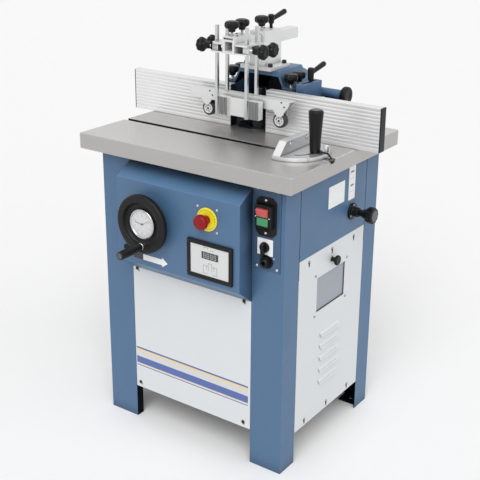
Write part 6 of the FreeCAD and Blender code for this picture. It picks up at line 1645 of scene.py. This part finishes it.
# %% Gauge stop rod
STOP_BENDS = ((306, -34.5, 865), (329, -37, 865), (342, -43.5, 857.5), (352, -50, 857.5))
STOP_ROUTE = [Vector(bend) for bend in STOP_BENDS]
STOP_RADIUS, STOP_LAP, WING_THICK = 2.4, 1.6, 4
KNOB_FROM_PIVOT, PIN_FROM_PIVOT = Vector((76, 25, 0)), Vector((84, 20, 0))
bm = bmesh.new()
for start, end in zip(STOP_ROUTE, STOP_ROUTE[1:]):
    reach = (end - start).length + STOP_LAP
    run = [(0, -STOP_LAP), (STOP_RADIUS, -STOP_LAP), (STOP_RADIUS, reach), (0, reach)]
    turn(bm, rounded(run, 0.9), start, end - start, 20)
post = [(0, -5.2), (4.2, -5.2), (4.2, 4.2), (0, 4.2)]
turn(bm, rounded(post, 0.8), STOP_ROUTE[0], UP, 24)
wing = rounded([(-4, 6), (3.5, 4.5), (8, -7), (6, -19), (0, -21), (-3.5, -9)], 2.5, closed=True)
push(bm, wing, STOP_ROUTE[-1] - UP * (WING_THICK / 2), RIGHT, ACROSS_SIDE, WING_THICK)
piece("gauge_stop_rod", bm, "gauge_head", black_steel, soft=0.3)
stop_knob = [(0, 0), (3.6, 0), (3.6, 3), (6.6, 4.4), (7.5, 10), (6.4, 14.6), (3.4, 16.6), (0, 17)]
turned("gauge_stop_knob", stop_knob, 1.2, pivot + KNOB_FROM_PIVOT, UP, 36,
       "gauge_head", hub_plastic)
pin = [(0, -1), (1.2, -1), (1.2, 15), (0, 15)]
turned("gauge_pin", pin, 0.4, pivot + PIN_FROM_PIVOT, UP, 16, "gauge_head", black_steel)
print("stop rod of", len(STOP_ROUTE) - 1, "runs")

# %% [markdown]
# ## Screws and rivets
# Panel screws are black domes with a socket, and the access panel hangs on keyhole slots, so that it lifts
# off. The slots are dark films, painted shade of their openings. Rivets and cover screws are bright domes.
# The mast's flange is held by four black cap screws. Copies of one mesh could be set out as separate
# objects, but a few dozen heads are light, and joined by their finish they make one piece each.

# %% Black screws
FLANGE_TOP, FLANGE_SCREW_X, FLANGE_SCREW_INSETS = 1019, 40, (6.5, 75.5)
CAP_HEAD = [(0, 4.5), (3.4, 4.5), (3.4, 9), (5.9, 9), (6.5, 8.4), (6.5, 0), (0, 0)]
MAST_SCREW_X, MAST_SCREW_INSET = -15, 56
PANEL_SCREW_LEFT, PANEL_SCREW_RIGHT, PANEL_SCREW_FOOT, PANEL_SCREW_HEAD = 15, 22, 16, 4
SLEEVE_SCREWS = ((-13, 50), (-13, 19), (12, 19))
DOME_SOCKET, DOME_FLOOR, DOME_CROWN, DOME_RIM = 0.45, 0.4, 0.72, 0.45
DOME_SINK, DOME_ROUND = 0.3, 0.25


def dome(bm, seat, direction, radius, height, socket=DOME_SOCKET):
    """A round head with a socket, whose shares of the radius and the height are named above."""
    inner = radius * socket
    outline = [
        (0, height * DOME_FLOOR), (inner, height * DOME_FLOOR), (inner, height),
        (radius * DOME_CROWN, height), (radius, height * DOME_RIM), (radius, -DOME_SINK), (0, -DOME_SINK)]
    turn(bm, rounded(outline, height * DOME_ROUND), seat, direction, 24)


bm = bmesh.new()
for x in (panel_low.x + PANEL_SCREW_LEFT, panel_high.x - PANEL_SCREW_RIGHT):
    for z in (panel_low.z + PANEL_SCREW_FOOT, panel_high.z - PANEL_SCREW_HEAD):
        dome(bm, (x, panel_low.y, z), FRONT, radius=5, height=3)
for side in (-1, 1):
    for inset in FLANGE_SCREW_INSETS:
        screw_seat = (side * FLANGE_SCREW_X, mast_front + inset, FLANGE_TOP)
        turn(bm, rounded(CAP_HEAD, 0.5), screw_seat, UP, 32)
dome(bm, (MAST_SCREW_X, mast_front + MAST_SCREW_INSET, mast_high.z), UP, radius=3.2, height=2)
piece("black_screws", bm, "stand", black_steel, ["screws"])
bm = bmesh.new()
for x, y in SLEEVE_SCREWS:
    dome(bm, (x, y, cross_high.z), UP, radius=3.0, height=1.8)
piece("sleeve_screws", bm, "arm", black_steel)
print("sleeve screws", len(SLEEVE_SCREWS))

# %% Keyholes and cover screws
KEYHOLE = [
    (-2.6, -9), (2.6, -9), (2.6, -2.5), (5, 1), (5.4, 4.5), (3.8, 7.6), (0, 8.8), (-3.8, 7.6), (-5.4, 4.5),
    (-5, 1), (-2.6, -2.5)]
KEYHOLE_ZS, KEYHOLE_STEP, KEYHOLE_DROP = (109, 573.5), 117, 3
HUNG_RISE, HUNG_LIFT = 2.0, 0.05
WINDOW_SCREW_LAP = 9
# Painted shade: each keyhole slot is a dark film.
holes, bright = bmesh.new(), bmesh.new()
for z in KEYHOLE_ZS:
    for step in (-1, 0, 1):
        y = window_y + step * KEYHOLE_STEP
        hole_place = (side_x - SINK, y, z - KEYHOLE_DROP)
        push(holes, rounded(KEYHOLE, 0.8, closed=True), hole_place, ACROSS_SIDE, UP, INK)
        dome(bright, (side_x + HUNG_LIFT, y, z + HUNG_RISE), RIGHT, radius=3.4, height=1.8)
for y in (open_low_y - WINDOW_SCREW_LAP, open_high_y + WINDOW_SCREW_LAP):
    for z in (open_low_z - WINDOW_SCREW_LAP, open_high_z + WINDOW_SCREW_LAP):
        dome(bright, (side_x, y, z), RIGHT, radius=3.6, height=1.9)
piece("keyhole_slots", holes, "stand", dark_gap)
piece("cover_screws", bright, "stand", ring_steel)
print("keyholes at z", KEYHOLE_ZS, "round y", round(window_y, 1))

# %% Rivets
RIVET_SOCKET = 0.35
STOP_RIVET_OFF, SHOW_RIVET_SIDE, SHOW_RIVET_EDGE = 30, 5.25, 5.5
PLATE_RIVET_LEFT, PLATE_RIVET_RIGHT, PLATE_RIVET_FOOT, PLATE_RIVET_HEAD = 11, 9, 8, 7
SMALL_RIVET_LEFT, SMALL_RIVET_FOOT = 62, 36
FLANGE_RIVET_HEAD, FLANGE_RIVET_FOOT = 6.5, 9.5
bright, dark = bmesh.new(), bmesh.new()


def rivet(bm, x, y, z, radius, height):
    """A rivet on a face that looks to the front."""
    dome(bm, (x, y, z), FRONT, radius, height, RIVET_SOCKET)


for a in (-1, 1):
    for b in (-1, 1):
        rivet_x, rivet_z = stop_centre.x + a * STOP_RIVET_OFF, stop_centre.z + b * STOP_RIVET_OFF
        rivet(bright, rivet_x, housing_face, rivet_z, radius=3.2, height=1.6)
for x in (show_low.x + SHOW_RIVET_SIDE, show_high.x - SHOW_RIVET_SIDE):
    for z in (show_low.z + SHOW_RIVET_EDGE, show_high.z - SHOW_RIVET_EDGE):
        rivet(dark, x, show_low.y, z, radius=3.2, height=1.6)
for x in (plate_low.x + PLATE_RIVET_LEFT, plate_high.x - PLATE_RIVET_RIGHT):
    for z in (plate_low.z + PLATE_RIVET_FOOT, plate_high.z - PLATE_RIVET_HEAD):
        rivet(bright, x, plate_low.y, z, radius=3.8, height=1.8)
small_x, small_z = plate_low.x + SMALL_RIVET_LEFT, plate_low.z + SMALL_RIVET_FOOT
rivet(bright, small_x, plate_low.y, small_z, radius=2.4, height=1.4)
for rise in (FLANGE_HEAD - FLANGE_RIVET_HEAD, FLANGE_RIVET_FOOT - FLANGE_FOOT):
    rivet(bright, switch_x, flange_face, switch_z + rise, radius=3.6, height=1.6)
piece("bright_rivets", bright, "stand", bright_steel, ["plate_rivets"])
piece("display_screws", dark, "stand", black_steel)
print("rivets sit", STOP_RIVET_OFF, "off the stop's middle")

# %% [markdown]
# ## Sizes
# The box round everything that is shown is printed. The dressed model has to stay in the CAD model's
# box.

# %% Print the box of what is shown
low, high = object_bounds()
print("visual box", [round(v, 4) for v in low], [round(v, 4) for v in high])
